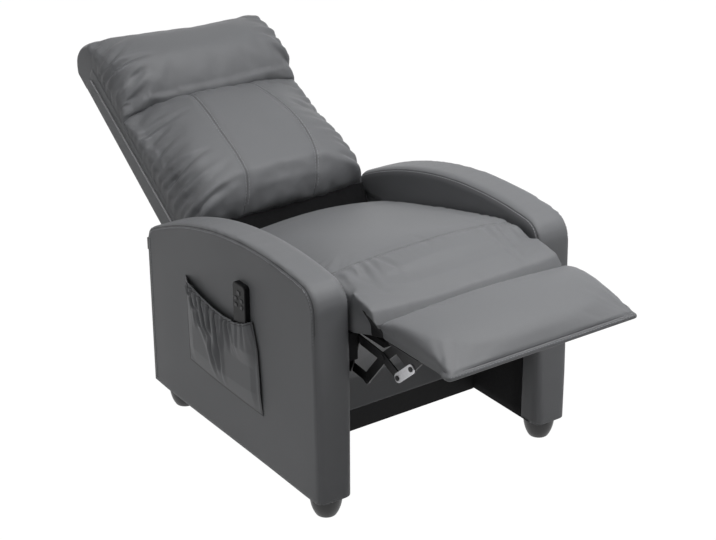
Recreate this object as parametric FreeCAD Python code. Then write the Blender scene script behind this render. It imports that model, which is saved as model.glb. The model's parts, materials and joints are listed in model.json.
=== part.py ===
import FreeCAD, Part
import math
import os

# A push-back massage recliner, drawn reclined with its footrest out.
# Lengths are millimetres. The chair faces -Y, +Z is up and x = 0 is its middle plane.
# It is drawn from the arms' front plane and underside, and set on the floor at the end.

# Whole chair
overall_width = 660.0
arm_thickness = 85.0
arm_depth = 686.0
foot_height = 50.0
origin_behind_front = 428.0
overrun = 5.0

# Arms
arm_crest_height = 495.0
arm_crest_depth = 215.0
arm_top_radius = 1030.0
arm_front_lean = 14.0
arm_front_corner = 58.0
arm_rear_corner = 34.0
arm_outer_round = 10.0
arm_inner_bevel = 5.0
arm_least_round = 7.0
seam_margin = 13.0
seam_step = 2.0
cover_thickness = 4.0
arm_board_thickness = 12.0
arm_rail_height = 38.0
lining_front = 55.0
lining_front_height = 392.0
lining_rear_margin = 30.0
lining_rear_height = 300.0

# Feet
foot_top_radius = 35.0
foot_bulge_radius = 33.5
foot_bottom_radius = 21.0
foot_bulge_share = 0.55
foot_rings = 6
foot_sides = 24
foot_front_setback = 42.0
foot_rear_setback = 60.0
foot_stud_radius = 4.0
foot_stud_depth = 26.0
foot_stud_rise = 22.0

# Cross rails and cloths between the arms
rail_thickness = 18.0
front_rail_drop = 232.0
rear_rail_drop = 162.0
front_rail_setback = 224.0
rear_rail_margin = 46.0
cloth_thickness = 1.5
apron_thickness = 3.0
apron_top_setback = 40.0
apron_notch_drop = 134.0

# Seat frame
side_rail_thickness = 23.0
side_rail_depth = 60.0
side_rail_front = 20.0
side_rail_rear_margin = 96.0
seat_bottom_height = 362.0
seat_level_depth = 122.0
seat_bottom_drop = 81.0
seat_rear_margin = 109.0
cross_rail_thickness = 22.0
cross_rail_depth = 45.0
front_cross_rail_setback = 100.0
rear_cross_rail_margin = 210.0
front_board_thickness = 12.0
front_board_side_gap = 40.0
front_board_nose_gap = 3.0
strap_width = 58.0
strap_thickness = 2.0
strap_gap = 0.2
strap_count = 5
strap_first = 60.0

# Seat cushion: heights of its crown and its sides over the top of the seat frame
seat_side_gap = 2.0
seat_seam_setback = 95.0
seat_seam_crown_rise = 118.0
seat_seam_side_rise = 108.0
seat_front_crown_rise = 90.0
seat_front_side_rise = 83.0
seat_rear_crown_rise = 22.0
seat_rear_side_rise = 4.0
seat_corner_round = 26.0
seat_channel_depth = 5.0
loft_steps = 2

# Footrest turning centre, nose and pad: the pad's heights are over its board's underside
fold_overhang = 17.0
fold_rise = 22.0
nose_radius = 49.0
nose_clearance = 0.5
flap_rear_angle = 60.0
flap_gap_angle = 0.5
flap_height = 29.0
crease_overhang = 59.0
crease_rise = 48.0
board_thickness = 18.0
board_rise = 3.0
board_overhang = 275.0
board_side_gap = 17.0
pad_wall = 9.0
pad_rear_crown = 45.0
pad_rear_side = 38.0
pad_front_crown = 35.0
pad_front_side = 25.0
pad_front_lip = 13.0

# Footrest linkage: pivots as (y, z) from the footrest's turning centre
link_pivot_offset = (43.0, -38.0)
crank_pivot_offset = (105.0, -114.0)
cross_pin_offset = (-45.0, -46.0)
crank_pin_offset = (17.0, -122.0)
upper_pin_offset = (-88.0, -8.0)
lower_pin_offset = (-99.0, -68.0)
link_radius = 10.0
link_thickness = 3.0
front_link_thickness = 2.5
link_gap = 0.5
rivet_radius = 4.0
rivet_running_gap = 0.06
rivet_head_radius = 6.5
rivet_small_head_radius = 5.5
rivet_head_height = 2.0
rivet_head_gap = 0.2
head_sides = 10
plate_front_offset = (61.0, -122.0)
plate_rear_offset = (175.0, -62.0)
plate_lobe_radius = 14.0
crank_stub_radius = 6.0
crank_boss_radius = 9.0
bracket_flange_overhang = 173.0
cross_tube_radius = 11.0
cross_tube_wall = 2.0

# Backrest: s runs up the back and t out of its front face, from the back's corner
back_corner_margin = 86.0
back_corner_drop = 62.0
back_slope = 35.0
back_side_gap = 4.0
back_wall = 2.5
back_face = -10.0
back_rear_low = -80.0
back_rear_top = -60.0
back_bottom = 22.0
back_top = 592.0
back_edge_round = 9.0
stile_thickness = 20.0
stile_front = -12.0
stile_depth = 44.0
back_rail_height = 45.0
back_rail_shares = (0.0, 0.46, 1.0)
back_strap_first = 92.0
back_strap_pitch = 84.0
back_strap_count = 6
recline_pivot_drop = 10.0
recline_lobe_radius = 16.0
recline_pin_radius = 5.0
recline_head_radius = 10.0
recline_plate_drop = 36.0
recline_plate_length = 66.0
recline_plate_dip = 6.0
recline_bracket_knee = 62.0
recline_bracket_top = 190.0
recline_bracket_drop = 24.0
recline_layer_gap = 0.3
stop_pin_radius = 4.0
stop_pin_reach = 30.0
stop_pin_gap = 0.3

# Back and head cushions: stations up the back, with side and crown heights
cushion_side_gap = 7.0
cushion_draw_in = 20.0
cushion_bulge = 3.0
back_cushion_bottom = 72.0
back_cushion_top = 430.0
back_side_height = 80.0
back_crown_height = 108.0
head_cushion_bottom = 433.0
head_cushion_top = 651.0
head_side_height = 50.0
head_crown_height = 84.0
head_brow_share = 0.24
head_lip_share = 0.98
head_lip_height_share = 0.12
head_chin_share = 0.06
head_chin_height_share = 0.55
head_fall_share = 0.62
head_fall_height_share = 0.78
head_rear_share = 0.91

# Massage units
pod_reach = 32.0
pod_height = 28.0
pod_wall = 2.0
pod_spread = 88.0
seat_unit_strap = 2
motor_length = 30.0
motor_inset = 22.0
weight_radius = 10.0
weight_thickness = 6.0
weight_gap = 1.0
weight_sides = 6
weight_shaft_radius = 1.0
weight_shaft_depth = 8.0
weight_running_gap = 0.05

# Control box and power inlet
box_width = 120.0
box_height = 50.0
box_depth = 34.0
box_wall = 2.0
board_width = 104.0
circuit_board_height = 34.0
circuit_board_thickness = 1.6
inlet_width = 30.0
inlet_height = 28.0
inlet_depth = 16.0
inlet_drop = 43.0
inlet_edge_margin = 5.0
inlet_bore_radius = 3.0
inlet_bore_depth = 11.0

# Side pocket and remote
pocket_front = 212.0
pocket_front_top = 238.0
pocket_rear = 513.0
pocket_bottom = 119.0
pocket_rim_front = 332.0
pocket_rim_low = 300.0
pocket_rim_rear = 328.0
pocket_slack = 10.0
pocket_hem_height = 8.0
pocket_hem_thickness = 1.0
pocket_seam_width = 14.0
remote_front = 251.0
remote_width = 48.0
remote_thickness = 16.0
remote_top = 403.0
remote_length = 140.0
remote_corner = 9.0
remote_shell_wall = 2.0
remote_split_share = 0.55
remote_edge_bevel = 1.6
remote_gap = 0.3
button_reach = 5.0
power_button_reach = 6.0
button_flat_share = 0.8
button_height = 1.2
button_stem = 3.0
button_clearance = 0.3
button_flange = 1.2
button_flange_thickness = 0.8
button_pitch = 15.0
button_spread = 11.0
power_button_drop = 20.0

# Places that follow from the sizes above
half_width = overall_width / 2
arm_inner = half_width - arm_thickness
panel_face = half_width - seam_step
rail_inner = arm_inner - side_rail_thickness
plate_inner = rail_inner - link_thickness
front_link_outer = rail_inner - link_gap
link_outer = plate_inner - link_gap
link_inner = link_outer - link_thickness
cross_outer = link_inner - link_gap
cross_inner = cross_outer - link_thickness
crank_outer = cross_inner - link_gap
crank_inner = crank_outer - link_thickness
seat_half_width = arm_inner - seat_side_gap
board_half_width = arm_inner - board_side_gap
front_board_half_width = arm_inner - front_board_side_gap
back_half_width = arm_inner - back_side_gap
cushion_half_width = arm_inner - cushion_side_gap
rear_rail_setback = arm_depth - rear_rail_margin
rear_cross_rail_setback = arm_depth - rear_cross_rail_margin
side_rail_rear = arm_depth - side_rail_rear_margin
seat_rear = arm_depth - seat_rear_margin
seat_bottom_slope = seat_bottom_drop / (seat_rear - seat_level_depth)
strap_pitch = (seat_rear - seat_level_depth - strap_first * 2) / (strap_count - 1)
rail_height = seat_bottom_height - front_rail_drop
rear_rail_height = seat_bottom_height - rear_rail_drop
arm_rear_height = arm_crest_height - arm_top_radius + math.sqrt(
    arm_top_radius ** 2 - (arm_depth - arm_crest_depth) ** 2
)
inlet_centre_height = arm_rear_height - inlet_drop
fold_centre = (-fold_overhang, seat_bottom_height + fold_rise)
crease_setback = fold_centre[0] - crease_overhang
crease_height = fold_centre[1] + crease_rise
board_front = fold_centre[0] - board_overhang
board_bottom = fold_centre[1] + board_rise
board_top = board_bottom + board_thickness
bracket_flange_front = fold_centre[0] - bracket_flange_overhang
back_corner = (arm_depth - back_corner_margin, seat_bottom_height - back_corner_drop)
recline_pivot = (back_corner[0], back_corner[1] - recline_pivot_drop)


def from_fold(offset):
    """The (y, z) place of an offset from the footrest's turning centre."""
    return (fold_centre[0] + offset[0], fold_centre[1] + offset[1])


link_pivot = from_fold(link_pivot_offset)
crank_pivot = from_fold(crank_pivot_offset)
cross_pin = from_fold(cross_pin_offset)
crank_pin = from_fold(crank_pin_offset)
upper_pin = from_fold(upper_pin_offset)
lower_pin = from_fold(lower_pin_offset)
front_pin = (upper_pin[0] + lower_pin[0] - cross_pin[0], upper_pin[1] + lower_pin[1] - cross_pin[1])
plate_front_corner = from_fold(plate_front_offset)
plate_rear_corner = from_fold(plate_rear_offset)


def vec(x, y, z):
    return FreeCAD.Vector(x, y, z)


def block(x_low, x_high, y_low, y_high, z_low, z_high):
    return Part.makeBox(x_high - x_low, y_high - y_low, z_high - z_low, vec(x_low, y_low, z_low))


def rod(place, radius, x_low, x_high):
    """A round bar along X through a (y, z) place."""
    return Part.makeCylinder(radius, x_high - x_low, vec(x_low, place[0], place[1]), vec(1, 0, 0))


def head(place, radius, x_low, x_high):
    """A many-sided bolt or rivet head along X about a (y, z) place."""
    corners = [polar(place, radius, 360 * index / head_sides) for index in range(head_sides)]
    return slab(polygon(corners), x_low, x_high)


def slab(edges, x_low, x_high):
    """The solid between two x planes over an outline drawn at x = 0."""
    face = Part.Face(Part.Wire(edges))
    solid = face.extrude(vec(x_high - x_low, 0, 0))
    solid.translate(vec(x_low, 0, 0))
    return solid


def line(start, end):
    return Part.makeLine(vec(0, start[0], start[1]), vec(0, end[0], end[1]))


def curve(start, middle, end):
    points = [vec(0, place[0], place[1]) for place in (start, middle, end)]
    return Part.Arc(points[0], points[1], points[2]).toShape()


def polygon(points):
    """Closed outline through (y, z) points."""
    return [line(start, end) for start, end in zip(points, points[1:] + points[:1])]


def joined(solids):
    return solids[0].multiFuse(solids[1:]).removeSplitter()


def cut(solid, tools):
    return solid.cut(tools) if tools else solid


def mirrored(solid):
    return solid.mirror(vec(0, 0, 0), vec(1, 0, 0))


def pair(solid):
    return Part.makeCompound([solid, mirrored(solid)])


def round_edges(solid, radius, chosen):
    edges = [edge for edge in solid.Edges if chosen(edge)]
    return solid.makeFillet(radius, edges) if edges else solid


def polar(centre, radius, angle):
    """A (y, z) place at an angle in degrees from +y towards +z."""
    turn = math.radians(angle)
    return (centre[0] + radius * math.cos(turn), centre[1] + radius * math.sin(turn))


def strip_plate(places, radius, x_low, x_high):
    """A flat bar with round ends that runs through (y, z) places."""
    solids = [rod(place, radius, x_low, x_high) for place in places]
    for start, end in zip(places, places[1:]):
        length = math.hypot(end[0] - start[0], end[1] - start[1])
        bar = block(x_low, x_high, 0, length, -radius, radius)
        turn = math.atan2(end[1] - start[1], end[0] - start[0])
        bar.rotate(vec(0, 0, 0), vec(1, 0, 0), math.degrees(turn))
        bar.translate(vec(0, start[0], start[1]))
        solids.append(bar)
    return joined(solids)


nodes = {}


def keep(name, shape):
    nodes[name] = shape


# Arms: a board frame inside a padded vinyl cover, with black lining low on the inner side
def arm_block(inset, bottom, x_low, x_high):
    """The arm's side outline, drawn in by an inset and cut off at a bottom height."""
    radius = arm_top_radius - inset
    centre = (arm_crest_depth, arm_crest_height - arm_top_radius)
    front_slope = arm_front_lean / arm_crest_height

    def top(y):
        return centre[1] + math.sqrt(radius ** 2 - (y - centre[0]) ** 2)

    front_top_y = arm_front_lean + inset
    rear_y = arm_depth - inset
    front_bottom_y = inset + front_slope * bottom
    corner_front = (front_top_y, top(front_top_y))
    corner_rear = (rear_y, top(rear_y))
    crest = (centre[0], centre[1] + radius)
    edges = [line((front_bottom_y, bottom), corner_front), curve(corner_front, crest, corner_rear)]
    edges += [line(corner_rear, (rear_y, bottom)), line((rear_y, bottom), (front_bottom_y, bottom))]
    solid = slab(edges, x_low, x_high)

    def is_corner(edge, corner):
        ends = [vertex.Point for vertex in edge.Vertexes]
        near = [math.hypot(p.y - corner[0], p.z - corner[1]) < cloth_thickness for p in ends]
        return all(near) and abs(ends[0].x - ends[-1].x) > 0

    front_radius = max(arm_front_corner - inset, arm_least_round)
    rear_radius = max(arm_rear_corner - inset, arm_least_round)
    solid = round_edges(solid, front_radius, lambda edge: is_corner(edge, corner_front))
    return round_edges(solid, rear_radius, lambda edge: is_corner(edge, corner_rear))


def on_side(edge, x, lowest):
    """Whether an edge lies in the plane at x and rises above a height."""
    box = edge.BoundBox
    return abs(box.XMin - x) + abs(box.XMax - x) < cloth_thickness and box.ZMax > lowest


lining_edge = polygon([
    (lining_front, 0),
    (lining_front, lining_front_height),
    (arm_depth - lining_rear_margin, lining_rear_height),
    (arm_depth - lining_rear_margin, 0),
])
arm_cover = arm_block(0, 0, arm_inner, half_width)
arm_cover = round_edges(arm_cover, arm_outer_round, lambda edge: on_side(edge, half_width, seam_margin))
inner_edges = [edge for edge in arm_cover.Edges if on_side(edge, arm_inner, seam_margin)]
arm_cover = arm_cover.makeChamfer(arm_inner_bevel, inner_edges)
panel_recess = arm_block(seam_margin, -overrun, panel_face, half_width + overrun)
board_inner = arm_inner + cover_thickness
board_outer = half_width - cover_thickness
arm_cavity = arm_block(cover_thickness, 0, board_inner, board_outer)
lining = slab(lining_edge, arm_inner, board_inner)
arm_cover = cut(arm_cover, [panel_recess, arm_cavity, lining])

stud_x = half_width - arm_thickness / 2
foot_places = {"front": foot_front_setback, "rear": arm_depth - foot_rear_setback}


def foot_stud(y):
    length = foot_stud_depth + foot_stud_rise
    return Part.makeCylinder(foot_stud_radius, length, vec(stud_x, y, -foot_stud_depth))


studs = [foot_stud(y) for y in foot_places.values()]
inner_board = arm_block(cover_thickness, 0, board_inner, board_inner + arm_board_thickness)
outer_board = arm_block(cover_thickness, 0, board_outer - arm_board_thickness, board_outer)
core = arm_block(cover_thickness, 0, board_inner + arm_board_thickness, board_outer - arm_board_thickness)
core_window = arm_block(cover_thickness + arm_rail_height, arm_rail_height, board_inner, board_outer)
core = cut(core, [core_window] + studs)
arm_frame = Part.makeCompound([inner_board, outer_board, core])
keep("left_arm_cover", arm_cover)
keep("right_arm_cover", mirrored(arm_cover))
keep("left_arm_frame", arm_frame)
keep("right_arm_frame", mirrored(arm_frame))
keep("left_arm_lining", lining)
keep("right_arm_lining", mirrored(lining))


# Feet: turned black plastic buns on studs that screw up into the arm frames
def foot(y):
    bulge_height = -foot_height * foot_bulge_share
    bulge = Part.Arc(
        vec(foot_top_radius, 0, 0),
        vec(foot_bulge_radius, 0, bulge_height),
        vec(foot_bottom_radius, 0, -foot_height),
    )
    rings = []
    for place in bulge.toShape().discretize(Number=foot_rings):
        corners = [polar((0, 0), place.x, 360 * index / foot_sides) for index in range(foot_sides + 1)]
        rings.append(Part.makePolygon([vec(corner[0], corner[1], place.z) for corner in corners]))
    solid = Part.makeLoft(rings, True, True)
    solid.translate(vec(stud_x, y, 0))
    return cut(solid, [foot_stud(y)])


for end, y in foot_places.items():
    keep(end + "_feet", pair(foot(y)))
keep("foot_studs", Part.makeCompound([pair(stud) for stud in studs]))

# Boards and black cloth that join the arms low down
front_rail_rear = front_rail_setback + rail_thickness
rear_rail_rear = rear_rail_setback + rail_thickness
keep("front_rail", block(-arm_inner, arm_inner, front_rail_setback, front_rail_rear, 0, rail_height))
keep("rear_rail", block(-arm_inner, arm_inner, rear_rail_setback, rear_rail_rear, 0, rear_rail_height))
keep("underside_cloth", block(
    -arm_inner, arm_inner, front_rail_setback, rear_rail_rear, -cloth_thickness, 0
))

apron_top = seat_bottom_height - front_board_thickness
apron_slope = (front_rail_setback - apron_top_setback) / (apron_top - rail_height)


def apron_y(z):
    return front_rail_setback - (z - rail_height) * apron_slope


apron = slab(polygon([
    (apron_y(rail_height), rail_height),
    (apron_y(apron_top), apron_top),
    (apron_y(apron_top) + apron_thickness, apron_top),
    (apron_y(rail_height) + apron_thickness, rail_height),
]), -arm_inner, arm_inner)
apron_notch = block(
    plate_inner - link_gap, arm_inner + overrun, 0, front_rail_setback,
    fold_centre[1] - apron_notch_drop, seat_bottom_height,
)
keep("front_apron", cut(apron, [apron_notch, mirrored(apron_notch)]))


# Seat frame: two side rails on the arms, two cross rails, a front board and webbing
def seat_bottom(y):
    return seat_bottom_height - max(y - seat_level_depth, 0) * seat_bottom_slope


side_rail = slab(polygon([
    (side_rail_front, seat_bottom_height),
    (seat_level_depth, seat_bottom_height),
    (side_rail_rear, seat_bottom(side_rail_rear)),
    (side_rail_rear, seat_bottom(side_rail_rear) - side_rail_depth),
    (seat_level_depth, seat_bottom_height - side_rail_depth),
    (side_rail_front, seat_bottom_height - side_rail_depth),
]), rail_inner, arm_inner)
keep("seat_side_rails", pair(side_rail))


def cross_rail(reach, y, top):
    return block(-reach, reach, y, y + cross_rail_thickness, top - cross_rail_depth, top)


front_board_bottom = seat_bottom_height - front_board_thickness
rear_cross_top = seat_bottom(rear_cross_rail_setback + cross_rail_thickness) - strap_thickness - strap_gap
keep("seat_cross_rails", Part.makeCompound([
    cross_rail(plate_inner, front_cross_rail_setback, front_board_bottom),
    cross_rail(rail_inner, rear_cross_rail_setback, rear_cross_top),
]))
front_board_drop = fold_centre[1] - front_board_bottom
front_board_reach = math.sqrt((nose_radius - front_board_nose_gap) ** 2 - front_board_drop ** 2)
keep("seat_front_board", block(
    -front_board_half_width, front_board_half_width,
    fold_centre[0] - front_board_reach, seat_level_depth,
    front_board_bottom, seat_bottom_height,
))


def on_seat(shape):
    """Carry a shape from level, with the cushion's underside at z = 0, to the sloping seat."""
    shape.rotate(vec(0, 0, 0), vec(1, 0, 0), -math.degrees(math.atan(seat_bottom_slope)))
    shape.translate(vec(0, seat_level_depth, seat_bottom_height))
    return shape


def seat_strap(index):
    start = strap_first - strap_width / 2 + index * strap_pitch
    return on_seat(block(-rail_inner, rail_inner, start, start + strap_width, -strap_thickness, 0))


keep("seat_webbing", Part.makeCompound([seat_strap(index) for index in range(strap_count)]))


# Seat cushion: a crowned loft over the frame, with a half-round nose under the flap
def crowned_section(y, bottom, side, crown, half, corner):
    """An upright section at y: flat below, upright sides, rounded corners and a crowned top."""
    shoulder = half - corner
    rise = corner * (1 - math.sqrt(2) / 2)

    def point(x, z):
        return vec(x, y, z)

    lean = point(half - rise, side - rise)
    edges = [Part.makeLine(point(-half, bottom), point(half, bottom))]
    edges.append(Part.makeLine(point(half, bottom), point(half, side - corner)))
    edges.append(Part.Arc(point(half, side - corner), lean, point(shoulder, side)).toShape())
    edges.append(Part.Arc(point(shoulder, side), point(0, crown), point(-shoulder, side)).toShape())
    mirror_lean = point(-lean.x, lean.z)
    edges.append(Part.Arc(point(-shoulder, side), mirror_lean, point(-half, side - corner)).toShape())
    edges.append(Part.makeLine(point(-half, side - corner), point(-half, bottom)))
    return Part.Wire(edges)


def padded_loft(section, rows):
    """A solid through cross sections, eased between the rows that give their sizes."""
    eased = []
    for index in range(len(rows) - 1):
        before = rows[max(index - 1, 0)]
        start = rows[index]
        end = rows[index + 1]
        after = rows[min(index + 2, len(rows) - 1)]
        for step in range(loft_steps):
            share = step / loft_steps
            eased.append([ease(values, share) for values in zip(before, start, end, after)])
    eased.append(rows[-1])
    return Part.makeLoft([section(*row) for row in eased], True, True)


def ease(values, share):
    """A smooth value between the second and third of four, at a share of the way."""
    before, start, end, after = values
    bend = 2 * before - 5 * start + 4 * end - after
    swing = 3 * start - before - 3 * end + after
    return start + ((end - before) * share + bend * share ** 2 + swing * share ** 3) / 2


def seat_station(y, side_rise, crown_rise, drop):
    side = seat_bottom_height + side_rise - drop
    crown = seat_bottom_height + crown_rise - drop
    return crowned_section(y, seat_floor, side, crown, seat_half_width, seat_corner_round)


seat_floor = seat_bottom(seat_rear) - overrun
seat_middle = (seat_seam_setback + seat_rear) / 2
seat_middle_side_rise = (seat_seam_side_rise + seat_rear_side_rise) / 2
seat_middle_crown_rise = (seat_seam_crown_rise + seat_rear_crown_rise) / 2
seat_stations = [
    (fold_centre[0], seat_front_side_rise, seat_front_crown_rise, seat_corner_round),
    (seat_seam_setback - seat_corner_round, seat_seam_side_rise, seat_seam_crown_rise, 0),
    (seat_seam_setback, seat_seam_side_rise, seat_seam_crown_rise, seat_channel_depth),
    (seat_seam_setback + seat_corner_round, seat_seam_side_rise, seat_seam_crown_rise, 0),
    (seat_middle, seat_middle_side_rise, seat_middle_crown_rise, -seat_channel_depth),
    (seat_rear - seat_corner_round, seat_rear_side_rise, seat_rear_crown_rise, 0),
    (seat_rear, seat_rear_side_rise, seat_rear_crown_rise, seat_corner_round),
]
seat_body = padded_loft(seat_station, seat_stations)
under_seat = slab(polygon([
    (fold_centre[0] - overrun, seat_bottom_height),
    (seat_level_depth, seat_bottom_height),
    (seat_rear + overrun, seat_bottom(seat_rear + overrun)),
    (seat_rear + overrun, seat_floor - overrun),
    (fold_centre[0] - overrun, seat_floor - overrun),
]), -half_width, half_width)
flap_front = polar(fold_centre, arm_depth, flap_rear_angle - flap_gap_angle)
wedge = slab(polygon([
    fold_centre,
    flap_front,
    (fold_centre[0] - arm_depth, flap_front[1]),
    (fold_centre[0] - arm_depth, 0),
    (fold_centre[0], 0),
]), -half_width, half_width)
nose = rod(fold_centre, nose_radius, -seat_half_width, seat_half_width)
nose_floor = block(
    -half_width, half_width,
    fold_centre[0] - nose_radius - overrun, fold_centre[0] + nose_radius + overrun,
    fold_centre[1] - nose_radius - overrun, seat_bottom_height,
)
keep("seat_cushion", joined([cut(seat_body, [wedge, under_seat]), cut(nose, [nose_floor])]))

# Footrest: a board with a padded top, and a flap of foam that hides the turning nose
sweep_radius = nose_radius + nose_clearance
flap_low_angle = 180 - math.degrees(math.asin((board_bottom - fold_centre[1]) / sweep_radius))
flap_heel = polar(fold_centre, sweep_radius, flap_rear_angle)
flap_tip = polar(fold_centre, sweep_radius + flap_height, flap_rear_angle)
flap_toe = polar(fold_centre, sweep_radius, flap_low_angle)
flap_hollow = polar(fold_centre, sweep_radius, (flap_low_angle + flap_rear_angle) / 2)
flap = slab([
    line(flap_heel, flap_tip),
    line(flap_tip, (crease_setback, crease_height)),
    line((crease_setback, crease_height), (crease_setback, board_bottom)),
    line((crease_setback, board_bottom), flap_toe),
    curve(flap_toe, flap_hollow, flap_heel),
], -seat_half_width, seat_half_width)
board = block(-board_half_width, board_half_width, board_front, crease_setback, board_bottom, board_top)
keep("chaise_flap", flap)
keep("footrest_board", board)


def pad_station(y, side, crown, half):
    corner = min(side, seat_corner_round) / 2
    return crowned_section(y, board_bottom, board_bottom + side, board_bottom + crown, half, corner)


pad_half_width = board_half_width + pad_wall
pad_front = board_front - pad_wall
pad_middle = (crease_setback + pad_front) / 2
pad_stations = [
    (crease_setback, pad_rear_side, pad_rear_crown, seat_half_width),
    (pad_middle, pad_front_side + pad_wall, pad_front_crown + pad_wall, pad_half_width),
    (board_front + pad_wall, pad_front_side, pad_front_crown, pad_half_width),
    (pad_front, pad_front_lip, pad_front_lip + cloth_thickness, pad_half_width),
]
keep("footrest_pad", cut(padded_loft(pad_station, pad_stations), [board]))


# Footrest linkage: riveted flat links, each side the same
def rivet(place, x_low, x_high, head_in, head_out):
    """A rivet through plates between two x planes, with heads where asked for."""
    solids = [rod(place, rivet_radius, x_low, x_high)]
    if head_in:
        head_face = x_low - rivet_head_height
        solids.append(head(place, head_in, head_face, x_low))
    if head_out:
        solids.append(head(place, head_out, x_high, x_high + rivet_head_height))
    return joined(solids)


def hole(place, radius):
    return rod(place, radius, 0, half_width)


loose = rivet_radius + rivet_running_gap
stub_loose = crank_stub_radius + rivet_running_gap

mechanism_plate = joined([
    rod(link_pivot, plate_lobe_radius, plate_inner, rail_inner),
    rod(crank_pivot, plate_lobe_radius, plate_inner, rail_inner),
    slab(polygon([
        (link_pivot[0] - plate_lobe_radius, link_pivot[1]),
        (link_pivot[0], link_pivot[1] + plate_lobe_radius),
        (front_cross_rail_setback + cross_rail_thickness, seat_bottom_height),
        plate_rear_corner,
        (crank_pivot[0] + plate_lobe_radius, crank_pivot[1]),
        (crank_pivot[0], crank_pivot[1] - plate_lobe_radius),
        plate_front_corner,
    ]), plate_inner, rail_inner),
])
mechanism_plate = cut(mechanism_plate, [hole(link_pivot, rivet_radius), hole(crank_pivot, stub_loose)])
screw_places = [
    (side_rail_front + plate_lobe_radius + link_radius * 2, seat_bottom_height - link_radius),
    (front_cross_rail_setback - link_radius, seat_bottom_height - side_rail_depth / 2),
]
mechanism_plate = cut(mechanism_plate, [hole(place, rivet_radius) for place in screw_places])
keep("left_mechanism_plate", mechanism_plate)
keep("right_mechanism_plate", mirrored(mechanism_plate))


def plate_screw(place):
    return joined([
        rod(place, rivet_radius, plate_inner, rail_inner),
        head(place, rivet_head_radius, plate_inner - rivet_head_height, plate_inner),
    ])


keep("plate_screws", Part.makeCompound([pair(plate_screw(place)) for place in screw_places]))
keep("base_rivets", pair(rivet(link_pivot, link_inner - rivet_head_gap, rail_inner, rivet_head_radius, 0)))

tube_front = front_cross_rail_setback + cross_rail_thickness + link_gap
tube_place = (tube_front + cross_tube_radius, plate_rear_corner[1] - link_thickness)
tube = rod(tube_place, cross_tube_radius, -plate_inner, plate_inner)
tube_bore = rod(tube_place, cross_tube_radius - cross_tube_wall, -plate_inner, plate_inner)
keep("cross_tube", cut(tube, [tube_bore]))

long_link = strip_plate([link_pivot, cross_pin, lower_pin], link_radius, link_inner, link_outer)
tight_holes = [hole(cross_pin, rivet_radius), hole(lower_pin, rivet_radius)]
long_link = cut(long_link, [hole(link_pivot, loose)] + tight_holes)
cross_rivet = rivet(cross_pin, cross_inner - rivet_head_gap, link_outer, rivet_head_radius, rivet_head_radius)
lower_rivet = rivet(lower_pin, link_inner, front_link_outer + rivet_head_gap, 0, rivet_small_head_radius)
keep("long_links", pair(joined([long_link, cross_rivet, lower_rivet])))

cross_link = strip_plate([upper_pin, cross_pin, crank_pin], link_radius, cross_inner, cross_outer)
cross_link = cut(cross_link, [hole(place, loose) for place in (upper_pin, cross_pin, crank_pin)])
keep("cross_links", pair(cross_link))

front_link_inner = front_link_outer - front_link_thickness
front_link = strip_plate([lower_pin, front_pin], link_radius, front_link_inner, front_link_outer)
keep("front_links", pair(cut(front_link, [hole(lower_pin, loose), hole(front_pin, loose)])))

crank_head_inner = cross_outer + rivet_head_gap
crank = joined([
    strip_plate([crank_pivot, crank_pin], link_radius, crank_inner, crank_outer),
    rod(crank_pivot, crank_boss_radius, crank_outer, plate_inner - rivet_head_gap),
    rod(crank_pivot, crank_stub_radius, crank_outer, rail_inner),
    rod(crank_pin, rivet_radius, crank_outer, crank_head_inner),
    head(crank_pin, rivet_head_radius, crank_head_inner, crank_head_inner + rivet_head_height),
])
keep("cranks", pair(crank))

bracket = strip_plate([upper_pin, front_pin], link_radius, link_inner, link_outer)
bracket_web = slab(polygon([
    (upper_pin[0] + link_radius, upper_pin[1]),
    (upper_pin[0] + link_radius, board_bottom),
    (bracket_flange_front, board_bottom),
    (bracket_flange_front, board_bottom - link_radius),
    (front_pin[0] - link_radius, front_pin[1]),
    front_pin,
    upper_pin,
]), link_inner, link_outer)
bracket_flange = block(
    link_outer, board_half_width - rivet_head_gap, bracket_flange_front, upper_pin[0] + link_radius,
    board_bottom - link_thickness, board_bottom,
)
upper_rivet = rivet(upper_pin, cross_inner - rivet_head_gap, link_outer, rivet_small_head_radius, 0)
front_rivet = rivet(front_pin, link_inner, front_link_outer + rivet_head_gap, 0, rivet_small_head_radius)
bracket = joined([bracket, bracket_web, bracket_flange, upper_rivet, front_rivet])
keep("footrest_brackets", pair(bracket))


# Backrest: boards and webbing in a vinyl tray, with two crowned cushions on its face
def on_back(shape):
    """Carry a shape from level, with y up the back and z out of it, to the reclined back."""
    shape.rotate(vec(0, 0, 0), vec(1, 0, 0), back_slope)
    shape.translate(vec(0, back_corner[0], back_corner[1]))
    return shape


def to_back(place):
    """The (s, t) place on the back of a (y, z) place on the chair."""
    turn = math.radians(back_slope)
    y = place[0] - back_corner[0]
    z = place[1] - back_corner[1]
    return (y * math.cos(turn) + z * math.sin(turn), z * math.cos(turn) - y * math.sin(turn))


pivot = to_back(recline_pivot)
bracket_outer = rail_inner - link_thickness - recline_layer_gap
bracket_inner = bracket_outer - link_thickness
bracket_path = [
    pivot,
    (recline_bracket_knee, stile_front - recline_bracket_drop),
    (recline_bracket_top, stile_front - recline_bracket_drop),
]


def back_outline(inset):
    return polygon([
        (back_bottom + inset, back_face),
        (back_top - inset, back_face),
        (back_top - inset, back_rear_top + inset),
        (back_bottom + inset, back_rear_low + inset),
    ])


back_tray = slab(back_outline(0), -back_half_width, back_half_width)


def is_long_rear_edge(edge):
    box = edge.BoundBox
    return box.YLength > back_top / 2 and box.ZMax < back_face - cloth_thickness


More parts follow.
